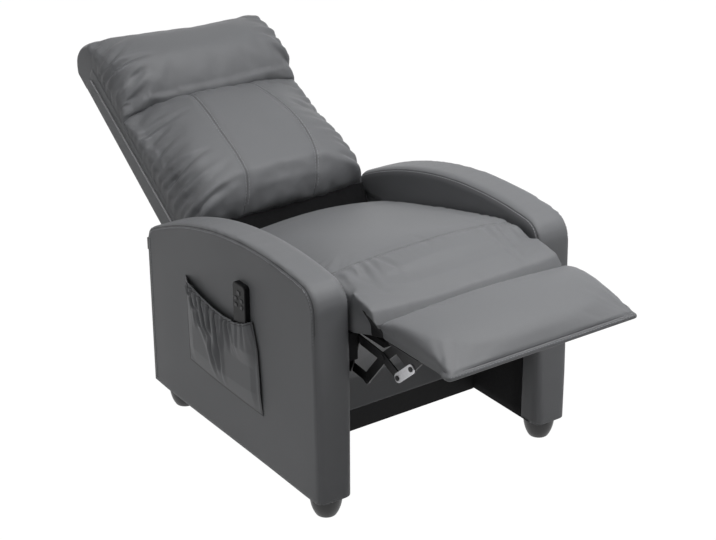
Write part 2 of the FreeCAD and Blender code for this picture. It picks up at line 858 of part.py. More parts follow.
back_tray = round_edges(back_tray, back_edge_round, is_long_rear_edge)
back_room = slab(back_outline(back_wall), back_wall - back_half_width, back_half_width - back_wall)
back_mouth = block(
    back_wall - back_half_width, back_half_width - back_wall,
    back_bottom + back_wall, back_top - back_wall, back_face - overrun, back_face + overrun,
)
tray_slot = block(
    bracket_inner - cloth_thickness, bracket_outer + cloth_thickness, back_bottom - overrun,
    back_bottom + back_wall + overrun, back_rear_low + back_edge_round, back_face + overrun,
)
back_tray = cut(back_tray, [back_room, back_mouth, tray_slot, mirrored(tray_slot)])
keep("back_cover", on_back(back_tray))

stile_outer = back_half_width - back_wall
stile_inner = bracket_outer
stile_low = back_bottom + back_wall
stile_top = back_top - back_wall
stile = block(stile_inner, stile_outer, stile_low, stile_top, stile_front - stile_depth, stile_front)
screw_end = stile_inner + stile_thickness / 2
stile = cut(stile, [rod(place, rivet_radius, stile_inner, screw_end) for place in bracket_path[1:]])
keep("back_stiles", on_back(pair(stile)))


def back_rail(share):
    low = stile_low + share * (stile_top - stile_low - back_rail_height)
    rear = stile_front - stile_depth / 2
    return block(-stile_inner, stile_inner, low, low + back_rail_height, rear, stile_front)


bracket_room = bracket_inner - rivet_head_height - recline_layer_gap
lower_rail_cut = block(
    bracket_room, stile_inner, back_bottom, recline_bracket_top + strap_width,
    stile_front - stile_depth, stile_front + cloth_thickness,
)
back_rails = [cut(back_rail(share), [lower_rail_cut, mirrored(lower_rail_cut)]) for share in back_rail_shares]
keep("back_rails", on_back(Part.makeCompound(back_rails)))


def back_strap(index):
    middle = back_strap_first + index * back_strap_pitch
    low = middle - strap_width / 2
    high = low + strap_width
    return block(-stile_outer, stile_outer, low, high, stile_front, stile_front + strap_thickness)


back_straps = [back_strap(index) for index in range(back_strap_count)]
keep("back_webbing", on_back(Part.makeCompound(back_straps)))

cloth_top = back_strap_first - strap_width / 2
cloth_face = stile_front + cloth_thickness
keep("back_lower_cloth", on_back(block(
    -bracket_room, bracket_room, stile_low, cloth_top, stile_front, cloth_face
)))

back_bracket = strip_plate(bracket_path, recline_lobe_radius, bracket_inner, bracket_outer)
pin_loose = recline_pin_radius + rivet_running_gap
bracket_screws = [
    joined([
        rod(place, rivet_radius, bracket_inner, screw_end),
        head(place, rivet_head_radius, bracket_inner - rivet_head_height, bracket_inner),
    ])
    for place in bracket_path[1:]
]
screw_holes = [hole(place, rivet_radius) for place in bracket_path[1:]]
back_bracket = cut(back_bracket, [hole(pivot, pin_loose)] + screw_holes)
keep("back_brackets", on_back(pair(back_bracket)))
keep("bracket_screws", on_back(Part.makeCompound([pair(screw) for screw in bracket_screws])))

# The stop pins lie under the brackets, which rest on them when the back is fully reclined
knee = bracket_path[1]
knee_angle = back_slope + math.degrees(math.atan2(knee[1] - pivot[1], knee[0] - pivot[0]))
stop_offset = recline_lobe_radius + stop_pin_radius + stop_pin_gap
stop_place = polar(
    recline_pivot, stop_pin_reach, knee_angle - math.degrees(math.asin(stop_offset / stop_pin_reach))
)
recline_plate_corner = (recline_pivot[0], recline_pivot[1] - recline_plate_drop)
recline_plate_front = (recline_pivot[0] - recline_plate_length, recline_plate_corner[1] - recline_plate_dip)
recline_path = [recline_pivot, recline_plate_corner, recline_plate_front]
recline_plate = joined([
    strip_plate(recline_path, recline_lobe_radius, plate_inner, rail_inner),
    strip_plate([recline_pivot, stop_place], stop_pin_radius * 2, plate_inner, rail_inner),
])
pin_holes = [hole(recline_pivot, recline_pin_radius), hole(stop_place, stop_pin_radius)]
recline_plate = cut(recline_plate, pin_holes)
keep("recline_plates", pair(recline_plate))
pin_head_face = bracket_inner - rivet_head_gap
recline_pin = joined([
    rod(recline_pivot, recline_pin_radius, pin_head_face, rail_inner),
    head(recline_pivot, recline_head_radius, pin_head_face - rivet_head_height, pin_head_face),
])
stop_pin = rod(stop_place, stop_pin_radius, bracket_inner, rail_inner)
keep("recline_pins", Part.makeCompound([pair(recline_pin), pair(stop_pin)]))


# Back and head cushions: stations up the back
def cushion_section(s, side, crown):
    """A cushion section across the back: flat behind, drawn-in sides and a crowned face."""
    half = cushion_half_width
    shoulder = half - cushion_draw_in
    middle = (back_face + side) / 2

    def point(x, t):
        return vec(x, s, t)

    bulge = half + cushion_bulge
    return Part.Wire([
        Part.makeLine(point(-half, back_face), point(half, back_face)),
        Part.makeLine(point(half, back_face), point(bulge, middle)),
        Part.makeLine(point(bulge, middle), point(shoulder, side)),
        Part.Arc(point(shoulder, side), point(0, crown), point(-shoulder, side)).toShape(),
        Part.makeLine(point(-shoulder, side), point(-bulge, middle)),
        Part.makeLine(point(-bulge, middle), point(-half, back_face)),
    ])


# Each row: share of the way up the cushion, share of the side height, share of the crown height
back_cushion_shares = (
    (0.0, 0.38, 0.52),
    (0.035, 0.84, 0.88),
    (0.09, 1.0, 1.0),
    (0.3, 0.92, 0.98),
    (0.52, 0.73, 0.9),
    (0.72, 0.45, 0.76),
    (0.91, 0.12, 0.5),
    (1.0, 0.02, 0.28),
)
back_cushion_length = back_cushion_top - back_cushion_bottom
back_stations = [
    (back_cushion_bottom + along * back_cushion_length, side * back_side_height, crown * back_crown_height)
    for along, side, crown in back_cushion_shares
]
keep("back_cushion", on_back(padded_loft(cushion_section, back_stations)))


def head_section(x, height, draw):
    """A side outline of the head cushion, which wraps over the top of the back."""
    low = head_cushion_bottom
    length = head_cushion_top - draw - low
    rear_top = low + head_rear_share * length

    def point(s, t):
        return vec(x, s, t)

    chin = point(low + head_chin_share * length, head_chin_height_share * height)
    brow = point(low + head_brow_share * length, height)
    fall = point(low + head_fall_share * length, head_fall_height_share * height)
    lip = point(low + head_lip_share * length, back_face + head_lip_height_share * height)
    crest = point(low + length, (back_face + back_rear_top) / 2)
    return Part.Wire([
        Part.makeLine(point(back_top, back_face), point(low, back_face)),
        Part.Arc(point(low, back_face), chin, brow).toShape(),
        Part.Arc(brow, fall, lip).toShape(),
        Part.Arc(lip, crest, point(rear_top, back_rear_top)).toShape(),
        Part.makeLine(point(rear_top, back_rear_top), point(back_top, back_rear_top)),
        Part.makeLine(point(back_top, back_rear_top), point(back_top, back_face)),
    ])


# Each row: share of the half width, share of the way from side height to crown height, draw-in
head_shares = ((-1.0, 0.0, 1.0), (-0.86, 0.45, 0.3), (-0.5, 0.85, 0.0), (0.0, 1.0, 0.0))
head_stations = head_shares + tuple((-x, rise, draw) for x, rise, draw in reversed(head_shares[:-1]))
head_rows = [
    (
        x * back_half_width,
        head_side_height + rise * (head_crown_height - head_side_height),
        draw * cushion_draw_in / 2,
    )
    for x, rise, draw in head_stations
]
keep("head_cushion", on_back(padded_loft(head_section, head_rows)))


# Massage units: a closed pod with a small motor that spins an off-centre weight
def massage_parts(x, y, top):
    """Pod, motor and weight of one unit whose top lies at a height."""
    bottom = top - pod_height
    axis_height = bottom + pod_height / 2
    reach = pod_reach - pod_wall
    pod_case = block(x - pod_reach, x + pod_reach, y - pod_reach, y + pod_reach, bottom, top)
    room = block(x - reach, x + reach, y - reach, y + reach, bottom + pod_wall, top - pod_wall)
    motor_radius = pod_height / 2 - pod_wall
    motor_start = x - motor_inset
    motor_end = motor_start + motor_length
    axis = (y, axis_height)
    bore_end = motor_end - weight_shaft_depth
    bore = rod(axis, weight_shaft_radius + weight_running_gap, bore_end, motor_end)
    motor = cut(rod(axis, motor_radius, motor_start, motor_end), [bore])
    face = motor_end + weight_gap
    far_face = face + weight_thickness
    rim = [polar(axis, weight_radius, 180 + 180 * index / weight_sides) for index in range(weight_sides + 1)]
    half_disc = slab(polygon(rim), face, far_face)
    hub = rod(axis, weight_shaft_radius * 2, face, far_face)
    shaft = rod(axis, weight_shaft_radius, bore_end + weight_gap, face + weight_gap)
    weight = joined([half_disc, hub, shaft])
    return cut(pod_case, [room]), motor, weight


def keep_units(where, carry, y, top):
    cases = []
    for side, x in (("right", -pod_spread), ("left", pod_spread)):
        case, motor, weight = massage_parts(x, y, top)
        cases += [carry(case), carry(motor)]
        keep(side + "_" + where + "_weight", carry(weight))
    keep(where + "_massage_units", Part.makeCompound(cases))


keep_units("seat", on_seat, strap_first + seat_unit_strap * strap_pitch, -strap_thickness)
keep_units("back", on_back, back_strap_first + back_strap_pitch, stile_front)

# Control box on the rear cross rail, and the power inlet behind the right arm
box_rear = rear_cross_rail_setback
box_front = box_rear - box_depth
box_top = rear_cross_top
box_bottom = box_top - box_height
case = block(-box_width / 2, box_width / 2, box_front, box_rear, box_bottom, box_top)
case_room = block(
    box_wall - box_width / 2, box_width / 2 - box_wall, box_front + box_wall, box_rear - box_wall,
    box_bottom + box_wall, box_top - box_wall,
)
keep("control_box", cut(case, [case_room]))
circuit_front = box_rear - box_wall - circuit_board_thickness
keep("circuit_board", block(
    -board_width / 2, board_width / 2, circuit_front, circuit_front + circuit_board_thickness,
    box_bottom + box_wall, box_bottom + box_wall + circuit_board_height,
))

inlet_outer = half_width - inlet_edge_margin
inlet_low = inlet_centre_height - inlet_height / 2
inlet = block(
    -inlet_outer, inlet_width - inlet_outer, arm_depth, arm_depth + inlet_depth,
    inlet_low, inlet_low + inlet_height,
)
inlet = round_edges(inlet, inlet_bore_radius, lambda edge: edge.BoundBox.YMin > arm_depth + cloth_thickness)
inlet_bore = Part.makeCylinder(
    inlet_bore_radius, inlet_bore_depth + overrun,
    vec(inlet_width / 2 - inlet_outer, arm_depth + inlet_depth - inlet_bore_depth, inlet_centre_height),
    vec(0, 1, 0),
)
keep("power_inlet", cut(inlet, [inlet_bore]))

# Remote: two shells with five buttons, standing in the pocket against the right arm
remote_back_x = panel_face + remote_gap
remote_face_x = remote_back_x + remote_thickness
remote_split = remote_back_x + remote_thickness * remote_split_share
remote_bottom = remote_top - remote_length


def remote_block(inset, x_low, x_high):
    solid = block(
        x_low, x_high, remote_front + inset, remote_front + remote_width - inset,
        remote_bottom + inset, remote_top - inset,
    )

    def is_corner(edge):
        box = edge.BoundBox
        return box.XLength > (x_high - x_low) / 2 and box.YLength + box.ZLength < cloth_thickness

    return round_edges(solid, remote_corner - inset, is_corner)


def face_edges(solid, x):
    return [edge for edge in solid.Edges if on_side(edge, x, 0)]


back_shell = remote_block(0, remote_back_x, remote_split)
back_shell = back_shell.makeChamfer(remote_edge_bevel, face_edges(back_shell, remote_back_x))
back_room_face = remote_back_x + remote_shell_wall
back_shell = cut(back_shell, [remote_block(remote_shell_wall, back_room_face, remote_split + overrun)])
front_shell = remote_block(0, remote_split, remote_face_x)
front_shell = front_shell.makeChamfer(remote_edge_bevel, face_edges(front_shell, remote_face_x))
front_room_face = remote_face_x - remote_shell_wall
front_shell = cut(front_shell, [remote_block(remote_shell_wall, remote_split - overrun, front_room_face)])
remote_middle = remote_front + remote_width / 2
power_height = remote_top - power_button_drop
upper_height = power_height - button_pitch
lower_height = upper_height - button_pitch
button_places = {
    "power": (remote_middle, power_height, power_button_reach),
    "mode": (remote_middle - button_spread, upper_height, button_reach),
    "level": (remote_middle + button_spread, upper_height, button_reach),
    "timer": (remote_middle - button_spread, lower_height, button_reach),
    "heat": (remote_middle + button_spread, lower_height, button_reach),
}
flange_face = front_room_face - rivet_head_gap
flange_inner = flange_face - button_flange_thickness


def button_block(y, z, reach, x_low, x_high):
    half_height = reach * button_flat_share
    return block(x_low, x_high, y - reach, y + reach, z - half_height, z + half_height)


for name, (y, z, reach) in button_places.items():
    button = joined([
        button_block(y, z, reach - button_clearance, flange_inner, remote_face_x + button_height),
        button_block(y, z, reach + button_flange, flange_inner, flange_face),
        button_block(y, z, reach / 2, front_room_face - button_stem, flange_face),
    ])
    front_shell = cut(front_shell, [button_block(y, z, reach, remote_split, remote_face_x + overrun)])
    keep(name + "_button", mirrored(button))
keep("remote_back_shell", mirrored(back_shell))
keep("remote_front_shell", mirrored(front_shell))

# Side pocket: a gathered vinyl pouch sewn down on three sides, with an elastic hem
pocket_reach = remote_face_x + remote_gap + pocket_hem_thickness + cloth_thickness


def pocket_plan(inset):
    """The pouch seen from above, drawn out over the remote and flat at its seams."""
    outer = pocket_reach - inset
    slack_face = panel_face + pocket_slack - inset
    return [
        (panel_face, pocket_front + inset),
        (outer, remote_front),
        (outer, remote_front + remote_width),
        (slack_face, pocket_rear - pocket_seam_width - inset),
        (panel_face, pocket_rear - inset),
    ]


def pocket_prism(inset, bottom):
    points = [vec(x, y, bottom) for x, y in pocket_plan(inset)]
    wire = Part.makePolygon(points + points[:1])
    return Part.Face(wire).extrude(vec(0, 0, pocket_rim_front - bottom + overrun))


def pocket_outline(drop, lift):
    """The pouch seen from the side, under a rim that dips in the middle."""
    return slab([
        line((pocket_front, pocket_bottom + lift), (pocket_front_top, pocket_rim_front - drop)),
        curve(
            (pocket_front_top, pocket_rim_front - drop),
            ((pocket_front_top + pocket_rear) / 2, pocket_rim_low - drop),
            (pocket_rear, pocket_rim_rear - drop),
        ),
        line((pocket_rear, pocket_rim_rear - drop), (pocket_rear, pocket_bottom + lift)),
        line((pocket_rear, pocket_bottom + lift), (pocket_front, pocket_bottom + lift)),
    ], panel_face - overrun, half_width * 2)


pocket_full = pocket_prism(0, pocket_bottom).common(pocket_outline(0, 0))
pocket_room = pocket_prism(cloth_thickness, pocket_bottom + cloth_thickness)
keep("side_pocket", mirrored(cut(pocket_full, [pocket_room])))
hem_outer = pocket_prism(cloth_thickness, pocket_bottom + cloth_thickness).common(pocket_outline(0, 0))
hem_band = cut(hem_outer, [
    pocket_prism(cloth_thickness + pocket_hem_thickness, pocket_bottom), pocket_outline(pocket_hem_height, 0),
])
keep("pocket_hem", mirrored(hem_band))

os.makedirs("parts", exist_ok=True)
for name, shape in nodes.items():
    shape.translate(vec(0, -origin_behind_front, foot_height))
    shape.exportStep(os.path.join("parts", name + ".step"))
print(len(nodes), "nodes,", sum(len(shape.Solids) for shape in nodes.values()), "solids")
print("invalid:", [name for name, shape in nodes.items() if not shape.isValid()])
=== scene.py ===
import json
import math
import random

import bmesh
import bpy
import numpy as np
from mathutils import Matrix, Vector
from mathutils.bvhtree import BVHTree


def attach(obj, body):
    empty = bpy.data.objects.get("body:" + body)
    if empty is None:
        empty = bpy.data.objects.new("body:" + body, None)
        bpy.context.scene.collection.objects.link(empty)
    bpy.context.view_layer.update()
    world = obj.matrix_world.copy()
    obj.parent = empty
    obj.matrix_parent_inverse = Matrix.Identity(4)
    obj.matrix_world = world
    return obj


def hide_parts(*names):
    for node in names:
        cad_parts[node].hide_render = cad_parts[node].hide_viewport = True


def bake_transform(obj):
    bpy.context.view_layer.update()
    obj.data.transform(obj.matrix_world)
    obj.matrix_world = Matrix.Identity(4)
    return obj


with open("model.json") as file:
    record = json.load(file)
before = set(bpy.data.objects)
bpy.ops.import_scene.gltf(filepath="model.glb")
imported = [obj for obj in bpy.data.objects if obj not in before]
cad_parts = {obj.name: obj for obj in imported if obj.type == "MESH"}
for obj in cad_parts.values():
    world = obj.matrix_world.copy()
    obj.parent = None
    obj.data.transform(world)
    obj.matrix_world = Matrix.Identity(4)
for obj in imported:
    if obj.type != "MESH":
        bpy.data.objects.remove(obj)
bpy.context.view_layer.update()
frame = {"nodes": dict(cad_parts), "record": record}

# Camera: stands to the right of the chair's front and looks down on it, as the photograph does.
# Its lens and turn come from the straight edges of the arms and the footrest.
camera_place = (-2.1183, -3.1312, 2.0764)
camera_heading = math.radians(-34.88)
camera_pitch = math.radians(90 - 24.72)
camera_roll = math.radians(-0.2)
camera_lens = 93.04
camera_sensor = 36.0

camera_data = bpy.data.cameras.new("camera")
camera_data.sensor_width = camera_sensor
camera_data.lens = camera_lens
camera = bpy.data.objects.new("camera", camera_data)
bpy.context.scene.collection.objects.link(camera)
turn = Matrix.Rotation(camera_heading, 4, "Z") @ Matrix.Rotation(camera_pitch, 4, "X")
camera.matrix_world = Matrix.Translation(camera_place) @ turn @ Matrix.Rotation(camera_roll, 4, "Z")
bpy.context.scene.camera = camera
bpy.context.scene.view_settings.view_transform = "Standard"


# Grey vinyl: the cover of the arms, cushions, footrest and pocket. It is a soft coated cloth
# with a fine pebbled grain, slightly uneven in tone, that shines a little where it is stretched.
class Shade:
    """One output of a finish's nodes, for use in plain sums."""

    def __init__(self, finish, socket):
        self.finish = finish
        self.socket = socket

    def math(self, operation, first, second):
        return self.finish.node("ShaderNodeMath", {"operation": operation}, {0: first, 1: second})

    def __add__(self, other):
        return self.math("ADD", self, other)

    def __radd__(self, other):
        return self.math("ADD", other, self)

    def __sub__(self, other):
        return self.math("SUBTRACT", self, other)

    def __rsub__(self, other):
        return self.math("SUBTRACT", other, self)

    def __mul__(self, other):
        return self.math("MULTIPLY", self, other)

    def __rmul__(self, other):
        return self.math("MULTIPLY", other, self)

    def __truediv__(self, other):
        return self.math("DIVIDE", self, other)

    def __rtruediv__(self, other):
        return self.math("DIVIDE", other, self)

    def bell(self, width):
        """1 at zero, falling to nothing a few widths away."""
        share = self * (1 / width)
        fall = 1.0 / (1.0 + share * share)
        return fall * fall


class Nodes:
    """A node tree, and the one way that nodes are added to it."""

    def __init__(self, tree):
        self.tree = tree

    def node(self, kind, settings=None, values=None, output=0):
        made = self.tree.nodes.new(kind)
        for key, value in (settings or {}).items():
            setattr(made, key, value)
        for key, value in (values or {}).items():
            if isinstance(value, Shade):
                self.tree.links.new(value.socket, made.inputs[key])
            else:
                made.inputs[key].default_value = value
        return Shade(self, made.outputs[output])


class Finish(Nodes):
    """A material built from a principled surface and the nodes that feed it."""

    def __init__(self, name, roughness=0.5, metallic=0.0, specular=0.5):
        self.material = bpy.data.materials.new(name)
        self.material.use_nodes = True
        super().__init__(self.material.node_tree)
        self.surface = self.tree.nodes["Principled BSDF"]
        self.surface.inputs["Roughness"].default_value = roughness
        self.surface.inputs["Metallic"].default_value = metallic
        self.surface.inputs["Specular IOR Level"].default_value = specular

    def place(self):
        return self.node("ShaderNodeTexCoord", output="Object")

    def noise(self, scale, detail=2.0):
        values = {"Vector": self.place(), "Scale": scale, "Detail": detail}
        return self.node("ShaderNodeTexNoise", {}, values)

    def cells(self, scale):
        values = {"Vector": self.place(), "Scale": scale}
        return self.node("ShaderNodeTexVoronoi", {"feature": "DISTANCE_TO_EDGE"}, values)

    def waves(self, direction, values):
        settings = {"wave_type": "BANDS", "bands_direction": direction}
        return self.node("ShaderNodeTexWave", settings, {"Vector": self.place(), **values})

    def blended(self, share, low, high):
        settings = {"data_type": "RGBA", "clamp_factor": True}
        ends = [end if isinstance(end, Shade) else (*end, 1.0) for end in (low, high)]
        return self.node("ShaderNodeMix", settings, {0: share, 6: ends[0], 7: ends[1]}, output=2)

    def seam_gap(self):
        return self.node("ShaderNodeAttribute", {"attribute_name": "seam_gap"}, output=2)

    def feed(self, name, shade):
        self.tree.links.new(shade.socket, self.surface.inputs[name])

    def bump(self, height, distance):
        values = {"Height": height, "Distance": distance, "Strength": 1.0}
        self.feed("Normal", self.node("ShaderNodeBump", {}, values))


# Each seam is pressed in as a narrow crease in relief, and the finish also darkens it towards a near-black
# tone: painted shade in the crease.
crease_width = 0.0011
crease_depth = 5.0
vinyl_specular = 0.35
vinyl_relief = 0.00016
vinyl_low = (0.150, 0.153, 0.160)
vinyl_high = (0.172, 0.176, 0.184)
painted_crease_shade = (0.022, 0.022, 0.024)


def vinyl(name, crease_shade_share=0.0):
    finish = Finish(name, specular=vinyl_specular)
    drift = finish.noise(6.0, 4.0)
    grain = finish.cells(620.0)
    pores = finish.noise(1500.0, 2.0)
    tone = finish.blended(0.75 * drift + 0.9 * grain, vinyl_low, vinyl_high)
    relief = 1.6 * grain + 0.35 * pores
    if crease_shade_share:
        crease = finish.seam_gap().bell(crease_width)
        # Painted shade: along each seam the vinyl's tone is blended towards near-black.
        tone = finish.blended(crease_shade_share * crease, tone, painted_crease_shade)
        relief = relief - crease_depth * crease
    finish.feed("Base Color", tone)
    finish.feed("Roughness", 0.42 + 0.12 * drift + 0.06 * pores)
    finish.bump(relief, vinyl_relief)
    return finish.material


plain_vinyl = vinyl("plain_vinyl")
# Both carry painted shade along their seams, the panel vinyl more strongly.
sewn_vinyl = vinyl("sewn_vinyl", 0.55)
panel_vinyl = vinyl("panel_vinyl", 0.95)


# Padding: foam and fibre under the vinyl. The seat, the footrest and the back cushions start from their
# solids, drawn in a little, and are blown up as cloth until the cover is taut. Seams and folds are pressed
# in last.
fine_voxel = 0.005
coarse_voxel = 0.006
puff_frames = 20
puff_pressure = 4.0
weld_distance = 0.0001
tiny = 1e-9
far_off = 1.0


def select_only(piece):
    bpy.ops.object.select_all(action="DESELECT")
    piece.select_set(True)
    bpy.context.view_layer.objects.active = piece


def edit_all(piece, *steps):
    """Run operators in edit mode, each with its settings, on the whole of a piece."""
    select_only(piece)
    bpy.ops.object.mode_set(mode="EDIT")
    for operator, settings in steps:
        bpy.ops.mesh.select_all(action="SELECT")
        operator(**settings)
    bpy.ops.object.mode_set(mode="OBJECT")


def apply_modifier(piece, kind, **settings):
    modifier = piece.modifiers.new(kind.lower(), kind)
    for key, value in settings.items():
        setattr(modifier, key, value)
    select_only(piece)
    bpy.ops.object.modifier_apply(modifier=modifier.name)


def node_copy(name, nodes):
    """A welded copy of one or more solids' meshes as a new piece."""
    copies = []
    for node in nodes:
        copy = bpy.data.objects.new(name, frame["nodes"][node].data.copy())
        copy.data.materials.clear()
        bpy.context.scene.collection.objects.link(copy)
        copies.append(copy)
    select_only(copies[0])
    for copy in copies[1:]:
        copy.select_set(True)
    if len(copies) > 1:
        bpy.ops.object.join()
    piece = bpy.context.view_layer.objects.active
    piece.name = name
    welded = (bpy.ops.mesh.remove_doubles, {"threshold": weld_distance})
    edit_all(piece, welded, (bpy.ops.mesh.normals_make_consistent, {"inside": False}))
    return piece


def points_of(piece, kind="co"):
    flat = np.zeros(len(piece.data.vertices) * 3)
    piece.data.vertices.foreach_get(kind, flat)
    return flat.reshape(-1, 3)


def cover_of(piece):
    """A cover's points and the way that it faces at each."""
    return points_of(piece), points_of(piece, "normal")


def move_to(piece, points):
    piece.data.vertices.foreach_set("co", points.ravel())
    piece.data.update()


def relax(piece, rounds):
    apply_modifier(piece, "SMOOTH", factor=0.5, iterations=rounds)


def even_mesh(piece, voxel, rounds):
    apply_modifier(piece, "REMESH", mode="VOXEL", voxel_size=voxel)
    relax(piece, rounds)


def ramp(value, span):
    """Rise evenly from 0 to 1 over a span."""
    return np.clip(value / span, 0, 1)


def draw_in(piece, depth):
    points, normals = cover_of(piece)
    move_to(piece, points - normals * depth)


def puff(piece, cap, held, slack=0.0):
    """Blow a closed mesh up as cloth, with some points held and each point's travel capped."""
    start, normals = cover_of(piece)
    group = piece.vertex_groups.new(name="held")
    group.add([int(index) for index in np.nonzero(held)[0]], 1.0, "REPLACE")
    cloth = piece.modifiers.new("cloth", "CLOTH")
    cloth.settings.vertex_group_mass = "held"
    cloth.settings.shrink_min = -slack
    cloth.settings.use_pressure = True
    cloth.settings.uniform_pressure_force = puff_pressure
    cloth.settings.effector_weights.gravity = 0.0
    cloth.collision_settings.use_collision = False
    cloth.point_cache.frame_end = puff_frames
    for step in range(1, puff_frames + 1):
        bpy.context.scene.frame_set(step)
    blown = piece.evaluated_get(bpy.context.evaluated_depsgraph_get())
    travel = points_of(blown) - start
    length = np.linalg.norm(travel, axis=1, keepdims=True)
    travel *= np.minimum(1.0, cap / np.maximum(length, tiny))
    piece.modifiers.remove(cloth)
    piece.vertex_groups.clear()
    bpy.context.scene.frame_set(1)
    move_to(piece, start + travel)


def along_line(places, line):
    """For 2-D places, the distance to a polyline and the length along it of the nearest point."""
    line = np.asarray(line, float)
    nearest = np.full(len(places), 1e9)
    along = np.zeros(len(places))
    done = 0.0
    for start, end in zip(line[:-1], line[1:]):
        step = end - start
        length = np.linalg.norm(step)
        share = np.clip((places - start) @ step / length ** 2, 0, 1)
        gap = np.linalg.norm(places - start - share[:, None] * step, axis=1)
        closer = gap < nearest
        nearest[closer] = gap[closer]
        along[closer] = done + share[closer] * length
        done += length
    return nearest, along


def curved(points, steps=10):
    """A smooth polyline through a few places."""
    points = [np.asarray(point, float) for point in points]
    padded = [2 * points[0] - points[1]] + points + [2 * points[-1] - points[-2]]
    made = []
    for before, start, end, after in zip(padded, padded[1:], padded[2:], padded[3:]):
        for step in range(steps):
            t = step / steps
            bend = 2 * before - 5 * start + 4 * end - after
            swing = 3 * start - before - 3 * end + after
            made.append(start + ((end - before) * t + bend * t ** 2 + swing * t ** 3) / 2)
    made.append(points[-1])
    return made


def groove(distance, depth, width):
    """How far a sewn seam draws the cover in, and how it swells beside it."""
    beside = (np.abs(distance) - 2.6 * width) / (1.6 * width)
    return depth * (np.exp(-((distance / width) ** 2)) - 0.3 * np.exp(-(beside ** 2)))


def mark_seams(piece, gaps):
    """Keep each point's signed distance to its nearest seam, for the finish to draw a crease in relief and
    with painted shade.
    """
    gaps = np.array(gaps)
    nearest = np.argmin(np.abs(gaps), axis=0)
    marked = piece.data.attributes.new("seam_gap", "FLOAT", "POINT")
    marked.data.foreach_set("value", gaps[nearest, np.arange(gaps.shape[1])])


def gathers(along, pitch, seed):
    """Uneven pleats along a seam: round ridges with tight valleys between them."""
    draw = random.Random(seed)
    total = np.zeros_like(along)
    for share, stretch in ((1.0, 1.0), (0.6, 0.61), (0.35, 1.73)):
        phase = draw.uniform(0, math.tau)
        wander = 0.8 * np.sin(along / (pitch * 3.1) + draw.uniform(0, math.tau))
        total += share * (np.abs(np.sin(along * math.pi / (pitch * stretch) + phase + wander)) - 0.64)
    return total / 1.95


def pleats(places, starts, heading, reach, depth, width, seed):
    """Folds that start at given places on a seam, run one way and fade out, each a little its own."""
    draw = random.Random(seed)
    total = np.zeros(len(places))
    for start in starts:
        turned = heading + draw.uniform(-0.28, 0.28)
        ahead = np.array([math.cos(turned), math.sin(turned)])
        length = reach * draw.uniform(0.55, 1.35)
        narrow = width * draw.uniform(0.75, 1.3)
        bend = draw.uniform(-2.2, 2.2)
        strength = depth * draw.uniform(0.6, 1.2)
        reached = (places - start) @ ahead
        aside = (places - start) @ np.array([-ahead[1], ahead[0]]) + bend * reached ** 2
        fade = np.clip(1 - reached / length, 0, 1) ** 1.3 * np.clip(1 + reached / 0.03, 0, 1)
        beside = (np.abs(aside) - 1.9 * narrow) / (1.1 * narrow)
        total += strength * fade * (0.5 * np.exp(-(beside ** 2)) - np.exp(-((aside / narrow) ** 2)))
    return total


def spaced(low, high, count, seed):
    """Uneven places along a seam."""
    draw = random.Random(seed)
    pitch = (high - low) / count
    return [low + pitch * (index + 0.5 + draw.uniform(-0.3, 0.3)) for index in range(count)]


def shade_soft(piece, finish):
    piece.data.materials.clear()
    piece.data.materials.append(finish)
    select_only(piece)
    bpy.ops.object.shade_smooth()


# Stitches: the covers are sewn with a thread a shade lighter than the vinyl, in rows of short
# stitches beside each seam. They are laid on the finished cover.
stitch_length = 0.0058
stitch_pitch = 0.0072
stitch_width = 0.0014
stitch_height = 0.0010
stitch_ends = ((-0.5, 0.25, 0.0), (-0.3, 0.5, 1.0), (0.3, 0.5, 1.0), (0.5, 0.25, 0.0))
stitch_crown_share = 0.7
stitch_margin = 0.0040
stitch_step = 0.0012


def clouded(name, scale, detail, low, high, relief=0.0, rough=(0.5, 0.0), metallic=0.0, specular=0.5):
    """A finish that is uneven in tone, and where asked in relief and in roughness."""
    finish = Finish(name, rough[0], metallic, specular)
    cloud = finish.noise(scale, detail)
    finish.feed("Base Color", finish.blended(cloud, low, high))
    if rough[1]:
        finish.feed("Roughness", rough[0] + rough[1] * cloud)
    if relief:
        finish.bump(cloud, relief)
    return finish.material


thread_low = (0.22, 0.225, 0.235)
thread_high = (0.34, 0.345, 0.36)
thread = clouded("thread", 900.0, 2.0, thread_low, thread_high, relief=0.0002, rough=(0.55, 0.0))


def surface_of(piece):
    mesh = bmesh.new()
    mesh.from_mesh(piece.data)
    tree = BVHTree.FromBMesh(mesh)
    mesh.free()
    return tree


def finer(piece):
    """Divide a cover once more, and give its surface for the stitches."""
    apply_modifier(piece, "SUBSURF", levels=1, render_levels=1)
    return surface_of(piece)


def dressed(piece, points, gaps):
    """Settle a stuffed cover, with its seams and its vinyl."""
    move_to(piece, points)
    mark_seams(piece, gaps)
    shade_soft(piece, sewn_vinyl)


